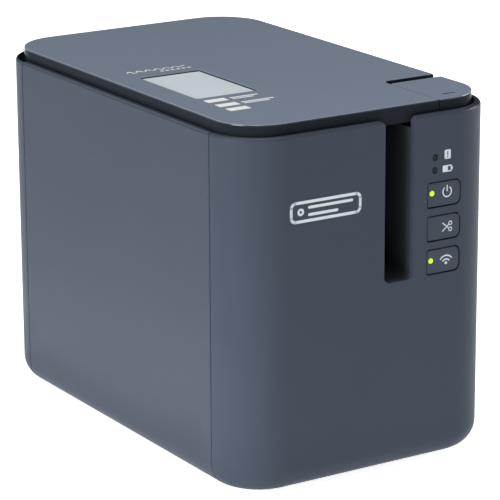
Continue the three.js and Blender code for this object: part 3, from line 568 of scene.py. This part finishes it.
def body_sheet(sizes):
    """Outer face of the body: side walls, round bottom edge and a flange underneath."""
    bm = bmesh.new()
    front, rear = sizes.corner_front, sizes.corner_rear
    face = plate(bm, -BODY_X, BODY_X, -BODY_Y, BODY_Y, (front, front, rear, rear), 22)
    extrude(bm, face, RIM - UNDERSIDE)
    bmesh.ops.translate(bm, verts=bm.verts, vec=(0, 0, UNDERSIDE))
    tidy(bm)
    round_edges(bm, [e for e in bm.edges if level(e, UNDERSIDE)], sizes.bottom_round, 10)
    flats = [f for f in bm.faces if abs(f.normal.z) > 0.999]
    lid = max(flats, key=lambda f: f.calc_center_median().z)
    base = min(flats, key=lambda f: f.calc_center_median().z)
    bmesh.ops.delete(bm, geom=[lid], context="FACES_ONLY")
    bmesh.ops.inset_region(bm, faces=[base], thickness=sizes.flange)
    bmesh.ops.delete(bm, geom=[base], context="FACES_ONLY")
    return bm


def keep_between(bm, low, high):
    """Cuts away what lies outside two y planes."""
    for y, normal in ((low, (0, -1, 0)), (high, (0, 1, 0))):
        bmesh.ops.bisect_plane(
            bm, geom=bm.verts[:] + bm.edges[:] + bm.faces[:], plane_co=(0, y, 0),
            plane_no=normal, clear_outer=True)


def in_mouth(point, mouth):
    """True for a point near the outside of the front wall, within a range of x."""
    return point.y < -BODY_Y + 2 * MM and mouth[0] < point.x < mouth[1]


def shell_part(sizes, low, high, cutters=(), side=0, mouth=None):
    """One shell piece between two seams, given its wall, openings and edges."""
    bm = body_sheet(sizes)
    keep_between(bm, low, high)
    if side:
        bmesh.ops.bisect_plane(
            bm, geom=bm.verts[:] + bm.edges[:] + bm.faces[:], plane_co=(0, 0, 0),
            plane_no=(-side, 0, 0), clear_outer=True)
    bmesh.ops.recalc_face_normals(bm, faces=bm.faces)
    middle_face = max(bm.faces, key=lambda f: f.calc_area())
    if middle_face.normal.dot(middle_face.calc_center_median() * Vector((1, 1, 0))) < 0:
        bmesh.ops.reverse_faces(bm, faces=bm.faces)
    bmesh.ops.solidify(bm, geom=bm.faces[:], thickness=sizes.wall)
    bmesh.ops.recalc_face_normals(bm, faces=bm.faces)
    rim = sharp_edges(bm, 40, lambda e: level(e, RIM) and outer(sizes, middle(e)))
    round_edges(bm, rim, sizes.rim_round, 6)
    if cutters:
        bm = boolean(bm, cutters)
    if mouth:
        lips = sharp_edges(bm, 35, lambda e: in_mouth(middle(e), mouth))
        round_edges(bm, lips, sizes.slot_edge, 4)
    round_edges(bm, sharp_edges(bm, 50), sizes.edge, 2)
    return bm


def outer(sizes, point):
    """True where a point lies on the body's outer outline in plan."""
    radius = sizes.corner_front if point.y < 0 else sizes.corner_rear
    from_corner = Vector((
        max(0.0, abs(point.x) - (BODY_X - radius)), max(0.0, abs(point.y) - (BODY_Y - radius))))
    return radius - from_corner.length < 0.3 * MM if from_corner.length > 0.5 * radius else False


class LABELMAKER_OT_shells(bpy.types.Operator):
    """Builds the four moulded shell pieces"""
    bl_idname = "label_maker.shells"
    bl_label = "Shells"

    def execute(self, context):
        sizes = context.scene.label_maker_sizes
        front_cutters = [slot_cutter(sizes)]
        for node in ("power_button", "cut_button", "wireless_button"):
            front_cutters.append(key_prism(node, KEY_GAP, -BODY_Y - CUT, -BODY_Y + THROUGH))
        for node in ("alert_lamp", "battery_lamp"):
            low, high = span(node)
            front_cutters.append(cylinder(
                "y", centre_of(node), (high.x - low.x) / 2 + LAMP_GAP,
                -BODY_Y - CUT, -BODY_Y + THROUGH))
        front_cutters.append(screw_sink("front_shell_screw"))
        chute_low, chute_high = span("exit_chute")
        mouth = (chute_low.x - 3 * MM, chute_high.x + 3 * MM)
        piece("front_shell_moulding",
              shell_part(sizes, -1, SEAMS[0] - sizes.part_gap, front_cutters, mouth=mouth),
              finish("shell"), "body", ("front_shell",))
        relief = outline_block(sizes, RELIEF_INSET, RIM - RELIEF_DEPTH, TOP)
        rear_cutters = [relief, *socket_cutters(), screw_sink("rear_shell_screw")]
        piece("rear_shell_moulding",
              shell_part(sizes, SEAMS[1] + sizes.part_gap, 1, rear_cutters),
              finish("shell"), "body", ("rear_shell",))
        for name, side in (("left", -1), ("right", 1)):
            piece(f"{name}_panel_moulding", shell_part(sizes, *SEAMS, side=side),
                  finish("shell"), "body", (f"{name}_side_panel",))
        return {"FINISHED"}


def outline_block(sizes, inset, low, high):
    """Solid block with the body's outline in plan, drawn in by inset."""
    front, rear = sizes.corner_front - inset, sizes.corner_rear - inset
    return prism(
        "z", (-BODY_X + inset, BODY_X - inset, -BODY_Y + inset, BODY_Y - inset),
        low, high, (front, front, rear, rear), 22)


def slot_cutter(sizes):
    """Tape slot through the front wall, its mouth flared at the rim."""
    low, high = span("exit_chute")
    x0, x1, z0 = low.x + SLOT_WALL, high.x - SLOT_WALL, low.z + SLOT_WALL
    flare = SLOT_FLARE
    through = (-BODY_Y - CUT, -BODY_Y + THROUGH)
    shaft = prism("y", (x0, x1, z0, RIM + CUT), *through, (SLOT_ROUND, SLOT_ROUND))
    mouth = prism("y", (x0 - flare, x1 + flare, RIM - flare, RIM + CUT), *through)
    corners = [
        cylinder("y", (x, RIM - flare), flare, through[0] - CUT, through[1] + CUT, 48)
        for x in (x0 - flare, x1 + flare)
    ]
    return boolean(boolean(mouth, corners), [shaft], "UNION")


def key_prism(node, grow, start, end):
    """Outline of a key, larger by grow all round, carried along y."""
    low, high = span(node)
    flange = 0.9 * MM
    x0, x1 = low.x + flange - grow, high.x - flange + grow
    z0, z1 = low.z + flange - grow, high.z - flange + grow
    near, far = 0.8 * MM + grow, 2.5 * MM + grow
    return prism("y", (x0, x1, z0, z1), start, end, (near, far, far, near), 8)


def screw_sink(node):
    """Sunk seat and clearance hole for a screw in the underside."""
    centre = centre_of(node, "xy")
    head, shank = 2.8 * MM, 1.5 * MM
    return merge(
        cylinder("z", centre, head, UNDERSIDE - CUT, UNDERSIDE + 1.6 * MM, 24),
        cylinder("z", centre, shank, UNDERSIDE + 1.2 * MM, UNDERSIDE + THROUGH, 24),
    )


def socket_cutters():
    """Openings in the rear wall for the three sockets."""
    cutters = []
    gap = SOCKET_GAP
    for node in ("usb_socket", "serial_socket"):
        low, high = span(node)
        cutters.append(prism(
            "y", (low.x - gap, high.x + gap, low.z - gap, high.z + gap),
            BODY_Y - THROUGH, BODY_Y + CUT))
    low, high = span("dc_socket")
    radius = (high.x - low.x) / 2 + gap
    cutters.append(cylinder(
        "y", (centre_of("dc_socket")[0], low.z + radius), radius,
        BODY_Y - THROUGH, BODY_Y + CUT, 40))
    return cutters


# ---- lid and release button ---------------------------------------------------

def cover_block(sizes):
    """Full outline of the lid as a solid block."""
    return outline_block(sizes, sizes.cover_inset, LID_LOW, TOP)


def hollow(sizes, inset):
    """Inside of the lid: the outline drawn in, below its top plate."""
    return outline_block(sizes, sizes.cover_inset + inset, LID_LOW - CUT, TOP - sizes.skirt)


class LABELMAKER_OT_cover(bpy.types.Operator):
    """Builds the lid with its window, hook and hinge blocks"""
    bl_idname = "label_maker.cover"
    bl_label = "Lid"

    def execute(self, context):
        sizes = context.scene.label_maker_sizes
        wide = 2 * BODY_X
        groove = 5 * MM
        skirt = sizes.skirt
        notch = prism("z", (TAB_LOW.x - LID_GAP, wide, -wide, TAB_HIGH.y + groove),
                      0, 2 * TOP, (0, 0, 0, 2.2 * MM), 8)
        notch_wall = prism(
            "z", (TAB_LOW.x - LID_GAP - skirt, BODY_X - sizes.cover_inset - skirt,
                  -BODY_Y + sizes.cover_inset + skirt, TAB_HIGH.y + groove + skirt),
            LID_LOW, TOP - skirt / 2, (0, 0, 0, 3.5 * MM), 8)
        low, high = span("cover_window")
        gap = LID_GAP
        frame_wall = 2 * MM
        window = (low.x - gap, high.x + gap, low.y - gap, high.y + gap)
        window_frame = prism(
            "z", (window[0] - frame_wall, window[1] + frame_wall,
                  window[2] - frame_wall, window[3] + frame_wall),
            TOP - 3.6 * MM, TOP - skirt / 2, (MM,) * 4)
        ribs = lid_ribs(sizes)
        bm = boolean(cover_block(sizes), [hollow(sizes, skirt)])
        bm = boolean(bm, [notch_wall, window_frame, *ribs], "UNION")
        low_hole = prism("z", (window[0] + frame_wall, window[1] - frame_wall,
                               window[2] + frame_wall, window[3] - frame_wall), 0, 2 * TOP)
        well = prism("z", window, low.z - gap, TOP + CUT, (0.6 * MM,) * 4, 4)
        reach = 12 * MM
        pins = [cylinder("x", HINGE, HINGE_BORE, x - reach, x + reach, 24)
                for x in (-HINGE_X, HINGE_X)]
        bm = boolean(bm, [notch, low_hole, well, *pins])
        top = sharp_edges(bm, 50, lambda e: level(e, TOP))
        round_edges(bm, top, sizes.cover_edge, 3)
        round_edges(bm, sharp_edges(bm, 50), 0.2 * MM, 2)
        piece("lid_moulding", bm, finish("cover"), "cover", ("top_cover",))
        pane = prism("z", (low.x, high.x, low.y, high.y), low.z, high.z, (0.4 * MM,) * 4, 4)
        round_edges(pane, sharp_edges(pane, 60, lambda e: level(e, high.z)), 0.15 * MM, 2)
        piece("window_pane", pane, finish("window"), "cover", ("cover_window",))
        return {"FINISHED"}


def lid_ribs(sizes):
    """Hinge blocks, the latch hook and stiffening ribs under the lid."""
    plate_z = TOP - sizes.skirt / 2
    parts = []
    for side in (-1, 1):
        for end in (-1, 1):
            x = side * HINGE_X + end * 6.3 * MM
            parts.append(prism(
                "x", (HINGE[0] - 2.8 * MM, HINGE[0] + 2.8 * MM, HINGE[1] - 2.4 * MM, plate_z),
                x - 2.7 * MM, x + 3 * MM, (2 * MM, 2 * MM), 6))
    hook_x, hook_y, hook_z = (24 * MM, 28 * MM), (-87 * MM, -84 * MM), 126 * MM
    parts.append(prism("z", (*hook_x, *hook_y), hook_z, plate_z))
    nose = prism("y", (hook_x[1] - MM, hook_x[1] + 1.6 * MM, hook_z, hook_z + 2 * MM), *hook_y,
                 (0, 1.2 * MM), 6)
    parts.append(nose)
    depth = TOP - sizes.skirt - 1.2 * MM
    half = 0.6 * MM
    for y in (12 * MM, 30 * MM, 48 * MM, 66 * MM):
        parts.append(prism("z", (-54 * MM, 54 * MM, y - half, y + half), depth, plate_z))
    for x in (-48 * MM, 0, 24 * MM):
        parts.append(prism("z", (x - half, x + half, 6 * MM, 80 * MM), depth, plate_z))
    return parts


class LABELMAKER_OT_release(bpy.types.Operator):
    """Builds the release button with its dent, its stem and painted shade laid in the dent"""
    bl_idname = "label_maker.release"
    bl_label = "Release button"

    def execute(self, context):
        sizes = context.scene.label_maker_sizes
        wide = 2 * BODY_X
        skirt = sizes.skirt
        corner = prism("z", (TAB_LOW.x, wide, -wide, TAB_HIGH.y), 0, 2 * TOP)
        bm = boolean(cover_block(sizes), [corner], "INTERSECT")
        inner = sizes.cover_inset + skirt
        radius = sizes.corner_front - inner
        core = prism(
            "z", (TAB_LOW.x + skirt, BODY_X - inner, -BODY_Y + inner, TAB_HIGH.y - skirt),
            0, TOP - skirt, (0, radius, 0, 0), 16)
        dent = prism("z", (38.2 * MM, 44.8 * MM, -85.9 * MM, -84.7 * MM),
                     TOP - DENT_DEPTH, TOP + CUT, (0.55 * MM,) * 4, 4)
        bm = boolean(bm, [core, dent])
        stem = cylinder("z", (45 * MM, -78 * MM), 2.5 * MM, TAB_LOW.z, TOP - skirt / 2, 32)
        bm = boolean(bm, [stem], "UNION")
        round_edges(bm, sharp_edges(bm, 50, lambda e: level(e, TOP)), sizes.cover_edge, 3)
        rest = sharp_edges(bm, 50, lambda e: not level(e, TOP - DENT_DEPTH))
        round_edges(bm, rest, 0.2 * MM, 2)
        piece("release_button_moulding", bm, finish("cover"), "release_key",
              ("release_button",))
        # Painted shade: a dark bar laid in the bottom of the dent.
        mark = Artwork()
        mark.bar(38.8, -85.3, 44.2, -85.3, 1.0)
        mark.lay("release_dent_painted_shade", "lid", (0, 0, TOP - 0.55 * MM), "release_key",
                 sizes.print_height, "dark_ink_and_painted_shade")
        return {"FINISHED"}


# ---- keys and lamps -----------------------------------------------------------

class LABELMAKER_OT_keys(bpy.types.Operator):
    """Builds the three front keys and the four lamps"""
    bl_idname = "label_maker.keys"
    bl_label = "Keys and lamps"

    def execute(self, context):
        sizes = context.scene.label_maker_sizes
        for kind in ("power", "cut", "wireless"):
            node = f"{kind}_button"
            low, high = span(node)
            cap = key_prism(node, 0.0, low.y, -BODY_Y + 3.2 * MM)
            round_edges(cap, sharp_edges(cap, 60, lambda e: middle(e).y < low.y + 0.1 * MM),
                        0.35 * MM, 3)
            flange = key_prism(node, 0.9 * MM, -BODY_Y + 2.7 * MM, -BODY_Y + 3.7 * MM)
            stem = cylinder("y", centre_of(node), 1.5 * MM, -BODY_Y + 3.5 * MM, high.y, 24)
            bm = boolean(cap, [flange, stem], "UNION")
            if kind != "cut":
                hole = cylinder("y", centre_of(f"{kind}_lamp"), 1.3 * MM,
                                -BODY_Y - CUT, -BODY_Y + 6 * MM)
                bm = boolean(bm, [hole])
            piece(f"{kind}_key_cap", bm, finish("key"), f"{kind}_key", (node,))
        lamps = (("alert", False), ("battery", False), ("power", True), ("wireless", True))
        for kind, lit in lamps:
            node = f"{kind}_lamp"
            low, high = span(node)
            lens = cylinder("y", centre_of(node), 1.15 * MM, low.y, high.y)
            face = [e for e in lens.edges if all(abs(v.co.y - low.y) < SAME_POINT for v in e.verts)]
            round_edges(lens, face, 0.4 * MM, 4)
            piece(f"{kind}_lens", lens, finish("lit" if lit else "unlit"),
                  f"{kind}_key" if lit else "body", (node,))
        return {"FINISHED"}


# ---- printed marks -------------------------------------------------------------

class Artwork:
    """Flat marks drawn in millimetres about an origin, then raised by the ink's thickness."""

    def __init__(self):
        self.bm = bmesh.new()

    def tile(self, x0, y0, x1, y1, radius):
        """Filled rectangle with round corners."""
        shape = bmesh.new()
        plate(shape, x0 * MM, x1 * MM, y0 * MM, y1 * MM, (radius * MM,) * 4, 5)
        self._take(shape)

    def bar(self, x0, y0, x1, y1, width):
        """Straight stroke with round ends."""
        run = Vector((x1 - x0, y1 - y0))
        shape = bmesh.new()
        half = width / 2
        plate(shape, -half * MM, (run.length + half) * MM, -half * MM, half * MM,
              (half * MM * 0.98,) * 4, 4)
        turn = Matrix.Rotation(math.atan2(run.y, run.x), 4, "Z")
        bmesh.ops.transform(shape, matrix=Matrix.Translation((x0 * MM, y0 * MM, 0)) @ turn,
                            verts=shape.verts)
        self._take(shape)

    def frame(self, x0, y0, x1, y1, radius, width):
        """Outline of a rectangle with round corners."""
        for x in (x0, x1):
            self.bar(x, y0 + radius, x, y1 - radius, width)
        for y in (y0, y1):
            self.bar(x0 + radius, y, x1 - radius, y, width)
        corners = ((x1, y1, -1, -1), (x0, y1, 1, -1), (x0, y0, 1, 1), (x1, y0, -1, 1))
        for turn, (x, y, dx, dy) in enumerate(corners):
            self.arc(x + dx * radius, y + dy * radius, radius, width, 90 * turn, 90)

    def arc(self, x, y, radius, width, start=0.0, sweep=360.0):
        """Ring or part of a ring, angles in degrees from +X."""
        shape = bmesh.new()
        ends = [shape.verts.new(((x + r * math.cos(math.radians(start))) * MM,
                                 (y + r * math.sin(math.radians(start))) * MM, 0))
                for r in (radius - width / 2, radius + width / 2)]
        edge = shape.edges.new(ends)
        bmesh.ops.spin(shape, geom=[*ends, edge], cent=(x * MM, y * MM, 0), axis=(0, 0, 1),
                       angle=math.radians(sweep), steps=max(6, int(sweep / 10)),
                       use_merge=sweep >= 360)
        self._take(shape)

    def dot(self, x, y, radius):
        """Filled disc."""
        shape = bmesh.new()
        bmesh.ops.create_circle(shape, cap_ends=True, segments=24, radius=radius * MM)
        bmesh.ops.translate(shape, verts=shape.verts, vec=(x * MM, y * MM, 0))
        self._take(shape)

    def _take(self, shape):
        bmesh.ops.recalc_face_normals(shape, faces=shape.faces)
        if shape.faces[:] and shape.faces[:][0].normal.z < 0:
            bmesh.ops.reverse_faces(shape, faces=shape.faces)
        self.bm = merge(self.bm, shape)

    def lay(self, name, plane, origin, body, height, material="ink"):
        """Raises the marks and sets them on the front wall or the lid."""
        bm = self.bm
        bmesh.ops.solidify(bm, geom=bm.faces[:], thickness=height)
        bmesh.ops.recalc_face_normals(bm, faces=bm.faces)
        if plane == "front":
            bmesh.ops.transform(bm, matrix=AXES["y"], verts=bm.verts)
        bmesh.ops.translate(bm, verts=bm.verts, vec=origin)
        piece(name, bm, finish(material), body, weighted=False)


def mark_front(ink, wall):
    """Plain badge on the front: an outline, a ring and two bars."""
    badge = Artwork()
    badge.frame(-37.4, 108.6, -6.6, 115.8, 1.9, 1.15)
    badge.arc(-33.2, 112.2, 1.0, 0.9)
    badge.bar(-29.4, 113.6, -10.4, 113.6, 1.1)
    badge.bar(-29.4, 110.8, -17.0, 110.8, 1.1)
    badge.lay("front_mark", "front", (0, wall, 0), "body", ink)


def mark_keys(ink):
    """Power, scissors and radio symbols, one on each key."""
    face = span("power_button")[0].y - ink / 2
    power = Artwork()
    power.arc(33.9, 110.3, 2.0, 0.5, 125, 290)
    power.bar(33.9, 110.6, 33.9, 112.7, 0.5)
    power.lay("power_symbol", "front", (0, face, 0), "power_key", ink)

    cutter = Artwork()
    for side in (-1, 1):
        cutter.arc(35.6, 96.4 + side * 1.2, 0.7, 0.42)
        cutter.bar(35.0, 96.4 + side * 0.85, 32.0, 96.4 - side * 1.6, 0.45)
    cutter.lay("cut_symbol", "front", (0, face, 0), "cut_key", ink)

    waves = Artwork()
    for radius in (2.0, 3.5):
        waves.arc(33.8, 81.4, radius, 0.55, 38, 104)
    waves.dot(33.8, 81.9, 0.62)
    waves.lay("wireless_symbol", "front", (0, face, 0), "wireless_key", ink)


def mark_status(ink, wall):
    """Warning and battery symbols beside the dark lamps, with their dark middles."""
    status = Artwork()
    status.tile(32.2, 123.3, 35.1, 126.9, 0.5)
    status.tile(31.4, 118.2, 35.6, 120.8, 0.3)
    status.tile(35.6, 118.9, 36.1, 120.1, 0.1)
    status.lay("status_symbols", "front", (0, wall, 0), "body", ink)
    cores = Artwork()
    cores.bar(33.65, 124.9, 33.65, 126.1, 0.5)
    cores.dot(33.65, 124.1, 0.32)
    cores.tile(33.8, 118.7, 35.2, 120.3, 0.1)
    cores.lay("status_symbol_cores", "front", (0, wall - ink / 2, 0), "body", ink, "dark_ink_and_painted_shade")


def mark_lid(ink):
    """Blank tiles with bars, and a wavy line with dashes under it."""
    lid = Artwork()
    left = -44.3
    for y, extent, has_bars in ((-47.5, 23.5, True), (-55.8, 25.5, True), (-63.4, 9.5, False)):
        lid.tile(left, y - 2.2, -35.2, y + 2.2, 0.4)
        if has_bars:
            lid.tile(-33.2, y + 0.1, left + extent, y + 1.3, 0.3)
            lid.tile(-33.2, y - 1.8, left + extent - 3, y - 0.8, 0.3)
    wave_y, pace = 11.8, 1.32
    for step in range(20):
        x = -44.4 + step * pace
        rises = [math.sin((step + ahead) * 2.0) * (2.3 - (step + ahead) * 0.07)
                 for ahead in (0, 1)]
        lid.bar(x, wave_y + rises[0], x + pace, wave_y + rises[1], 0.62)
    for step in range(6):
        lid.tile(-31.5 + step * 2.5, 7.6, -29.9 + step * 2.5, 8.7, 0.2)
    lid.lay("lid_marks", "lid", (0, 0, TOP + ink), "cover", ink, "lid_ink")


class LABELMAKER_OT_prints(bpy.types.Operator):
    """Lays the plain printed marks on the front, the keys and the lid"""
    bl_idname = "label_maker.prints"
    bl_label = "Printed marks"

    def execute(self, context):
        ink = context.scene.label_maker_sizes.print_height
        wall = -BODY_Y - ink / 2
        mark_front(ink, wall)
        mark_keys(ink)
        mark_status(ink, wall)
        mark_lid(ink)
        return {"FINISHED"}


# ---- carried-over pieces -------------------------------------------------------

PLAIN_NODES = {
    "inner": ["base_tray", "mechanism_frame", "dc_socket", "serial_socket"],
    "throat": ["exit_chute"],
    "foot": ["foot_front_left", "foot_front_right", "foot_rear_left", "foot_rear_right"],
    "roller": ["platen_sleeve", "feed_roller_sleeve"],
    "screw": ["base_screw_front_left", "base_screw_front_right", "base_screw_rear_left",
              "base_screw_rear_right", "front_shell_screw", "rear_shell_screw", "cutter_screw"],
    "steel": ["hinge_pin_left", "hinge_pin_right", "release_spring", "platen_shaft",
              "feed_roller_shaft", "motor_gear", "cutter_pinion", "fixed_blade", "moving_blade"],
    "sheet": ["chassis_plate", "cutter_frame", "usb_socket"],
    "motor": ["feed_motor", "cutter_motor"],
    "sink": ["head_heat_sink", "roller_holder"],
    "ceramic": ["print_head"],
    "acetal": ["drive_gear", "transfer_gear", "ribbon_spindle", "cover_latch"],
    "cassette": ["cassette_case", "cassette_lid"],
    "tape": ["label_tape_roll"],
    "ribbon": ["ribbon_supply_spool", "ribbon_take_up_spool"],
    "board": ["main_board", "switch_board"],
}


class LABELMAKER_OT_finishes(bpy.types.Operator):
    """Gives each carried-over node its finish"""
    bl_idname = "label_maker.finishes"
    bl_label = "Finishes"

    def execute(self, context):
        for kind, names in PLAIN_NODES.items():
            for name in names:
                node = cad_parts[name]
                node.data.materials.clear()
                node.data.materials.append(finish(kind))
        return {"FINISHED"}


class LABELMAKER_OT_contacts(bpy.types.Operator):
    """Adds the contacts inside the two square sockets on the back"""
    bl_idname = "label_maker.contacts"
    bl_label = "Socket contacts"

    def execute(self, context):
        x, z = centre_of("usb_socket")
        tongue = prism("y", (x - 2.2 * MM, x + 2.2 * MM, z - 1.4 * MM, z + 1.4 * MM),
                       BODY_Y - 12 * MM, BODY_Y - 3 * MM, (0.4 * MM,) * 4, 3)
        round_edges(tongue, sharp_edges(tongue, 60), 0.15 * MM, 2)
        piece("usb_tongue", tongue, finish("inner"), "body")
        x, z = centre_of("serial_socket")
        pitch, half = 1.2 * MM, 0.2 * MM
        pins = []
        for step in range(6):
            at = x + (step - 2.5) * pitch
            pin = prism("y", (at - half, at + half, z + 2.6 * MM, z + 3 * MM),
                        BODY_Y - 11 * MM, BODY_Y - THROUGH, (0.1 * MM,) * 4, 2)
            pins.append(pin)
        piece("serial_pins", merge(*pins), finish("contact"), "body")
        return {"FINISHED"}


# ---- stage ---------------------------------------------------------------------

# Place in metres, angles in degrees, focal length and sensor in millimetres
CAMERA = {
    "place": (-564.65 * MM, -904.2 * MM, 379.71 * MM),
    "turn": 32.214,
    "tilt": 16.249,
    "roll": -0.269,
    "lens": 195.755,
    "sensor": 36.0,
}

SKY = 0.005
FLOOR_GLOW = 0.88           # the floor is a lit sheet
FLOOR_DROP = 0.05 * MM      # keeps it clear of the feet
# Name, size in metres, watts, place, target and spread in degrees
PANELS = (
    ("left_panel", (1.2, 1.2), 46.5, (-2.2, -0.45, 0.6), (0, 0, 0.07), 180),
    ("right_panel", (1.0, 1.0), 26.0, (2.0, -0.3, 0.6), (0, 0, 0.07), 180),
    ("overhead_panel", (2.0, 2.0), 27.2, (0.0, 0.2, 2.2), (0, 0, 0.1), 180),
    ("corner_lamp", (0.30, 0.12), 1.3, (-0.42, -0.8, 0.8), (0, 0, 0.1), 180),
    ("rear_lamp", (0.35, 0.35), 1.4, (-0.24, 1.3, 1.03), (0, 0, 0.14), 180),
    ("left_floor_panel", (0.05, 0.4), 0.26, (-0.12, 0.0, 0.6), (-0.12, 0, 0), 6),
    ("front_floor_panel", (0.34, 0.08), 0.05, (0.0, -0.15, 0.5), (0, -0.15, 0), 8),
)


def area_light(name, size, energy, place, target, spread):
    """Adds a rectangular light aimed at a target."""
    data = bpy.data.lights.new(name, "AREA")
    data.shape = "RECTANGLE"
    data.size, data.size_y = size
    data.energy = energy
    data.spread = math.radians(spread)
    light = bpy.data.objects.new(name, data)
    light.location = place
    aim = Vector(target) - Vector(place)
    light.rotation_euler = aim.to_track_quat("-Z", "Y").to_euler()
    bpy.context.scene.collection.objects.link(light)


class LABELMAKER_OT_stage(bpy.types.Operator):
    """Sets the floor, the lights and the camera"""
    bl_idname = "label_maker.stage"
    bl_label = "Stage"

    def execute(self, context):
        scene = context.scene
        floor = Recipe("floor_sheet", Roughness=0.9, Emission_Color=(1.0, 1.0, 1.0, 1.0),
                       Emission_Strength=FLOOR_GLOW)
        floor.drive("Base Color", floor.mix(
            floor.noise(0.4), (0.86, 0.86, 0.86), (0.90, 0.90, 0.90)))
        bm = bmesh.new()
        bmesh.ops.create_grid(bm, x_segments=4, y_segments=4, size=6.0)
        bmesh.ops.translate(bm, verts=bm.verts, vec=(0, 0, -FLOOR_DROP))
        mesh = bpy.data.meshes.new("floor")
        bm.to_mesh(mesh)
        bm.free()
        mesh.materials.append(floor.material)
        ground = bpy.data.objects.new("floor", mesh)
        scene.collection.objects.link(ground)

        world = bpy.data.worlds.new("studio")
        world.use_nodes = True
        sky = next(n for n in world.node_tree.nodes if n.type == "BACKGROUND")
        sky.inputs["Color"].default_value = (1.0, 1.0, 1.0, 1.0)
        sky.inputs["Strength"].default_value = SKY
        scene.world = world
        scene.view_settings.view_transform = "Standard"

        for panel in PANELS:
            area_light(*panel)

        data = bpy.data.cameras.new("camera")
        data.sensor_width = CAMERA["sensor"]
        data.lens = CAMERA["lens"]
        data.clip_end = 100
        camera = bpy.data.objects.new("camera", data)
        turn, tilt, roll = (math.radians(CAMERA[k]) for k in ("turn", "tilt", "roll"))
        ahead = Vector((math.sin(turn) * math.cos(tilt), math.cos(turn) * math.cos(tilt),
                        -math.sin(tilt)))
        right = Vector((math.cos(turn), -math.sin(turn), 0))
        up = right.cross(ahead)
        rolled_right = math.cos(roll) * right + math.sin(roll) * up
        rolled_up = -math.sin(roll) * right + math.cos(roll) * up
        pose = Matrix((rolled_right, rolled_up, -ahead)).transposed().to_4x4()
        pose.translation = Vector(CAMERA["place"])
        camera.matrix_world = pose
        scene.collection.objects.link(camera)
        scene.camera = camera
        return {"FINISHED"}


# ---- panel and registration ------------------------------------------------------

OPERATORS = (
    LABELMAKER_OT_shells, LABELMAKER_OT_cover, LABELMAKER_OT_release, LABELMAKER_OT_keys,
    LABELMAKER_OT_prints, LABELMAKER_OT_finishes, LABELMAKER_OT_contacts, LABELMAKER_OT_stage,
)


class LABELMAKER_PT_panel(bpy.types.Panel):
    """Lists the steps that build the label maker"""
    bl_idname = "LABELMAKER_PT_panel"
    bl_label = "Label Maker"
    bl_space_type = "VIEW_3D"
    bl_region_type = "UI"
    bl_category = "Label Maker"

    def draw(self, context):
        for step in OPERATORS:
            self.layout.operator(step.bl_idname)
        for group in (context.scene.label_maker_sizes, context.scene.label_maker_colours):
            box = self.layout.box()
            for key in group.__annotations__:
                box.prop(group, key)


CLASSES = (LabelMakerSizes, LabelMakerColours, *OPERATORS, LABELMAKER_PT_panel)


def register():
    for cls in CLASSES:
        bpy.utils.register_class(cls)
    bpy.types.Scene.label_maker_sizes = bpy.props.PointerProperty(type=LabelMakerSizes)
    bpy.types.Scene.label_maker_colours = bpy.props.PointerProperty(type=LabelMakerColours)


def unregister():
    del bpy.types.Scene.label_maker_colours
    del bpy.types.Scene.label_maker_sizes
    for cls in reversed(CLASSES):
        bpy.utils.unregister_class(cls)


def main():
    register()
    for step in OPERATORS:
        group, name = step.bl_idname.split(".")
        getattr(getattr(bpy.ops, group), name)()


if __name__ == "__main__":
    main()
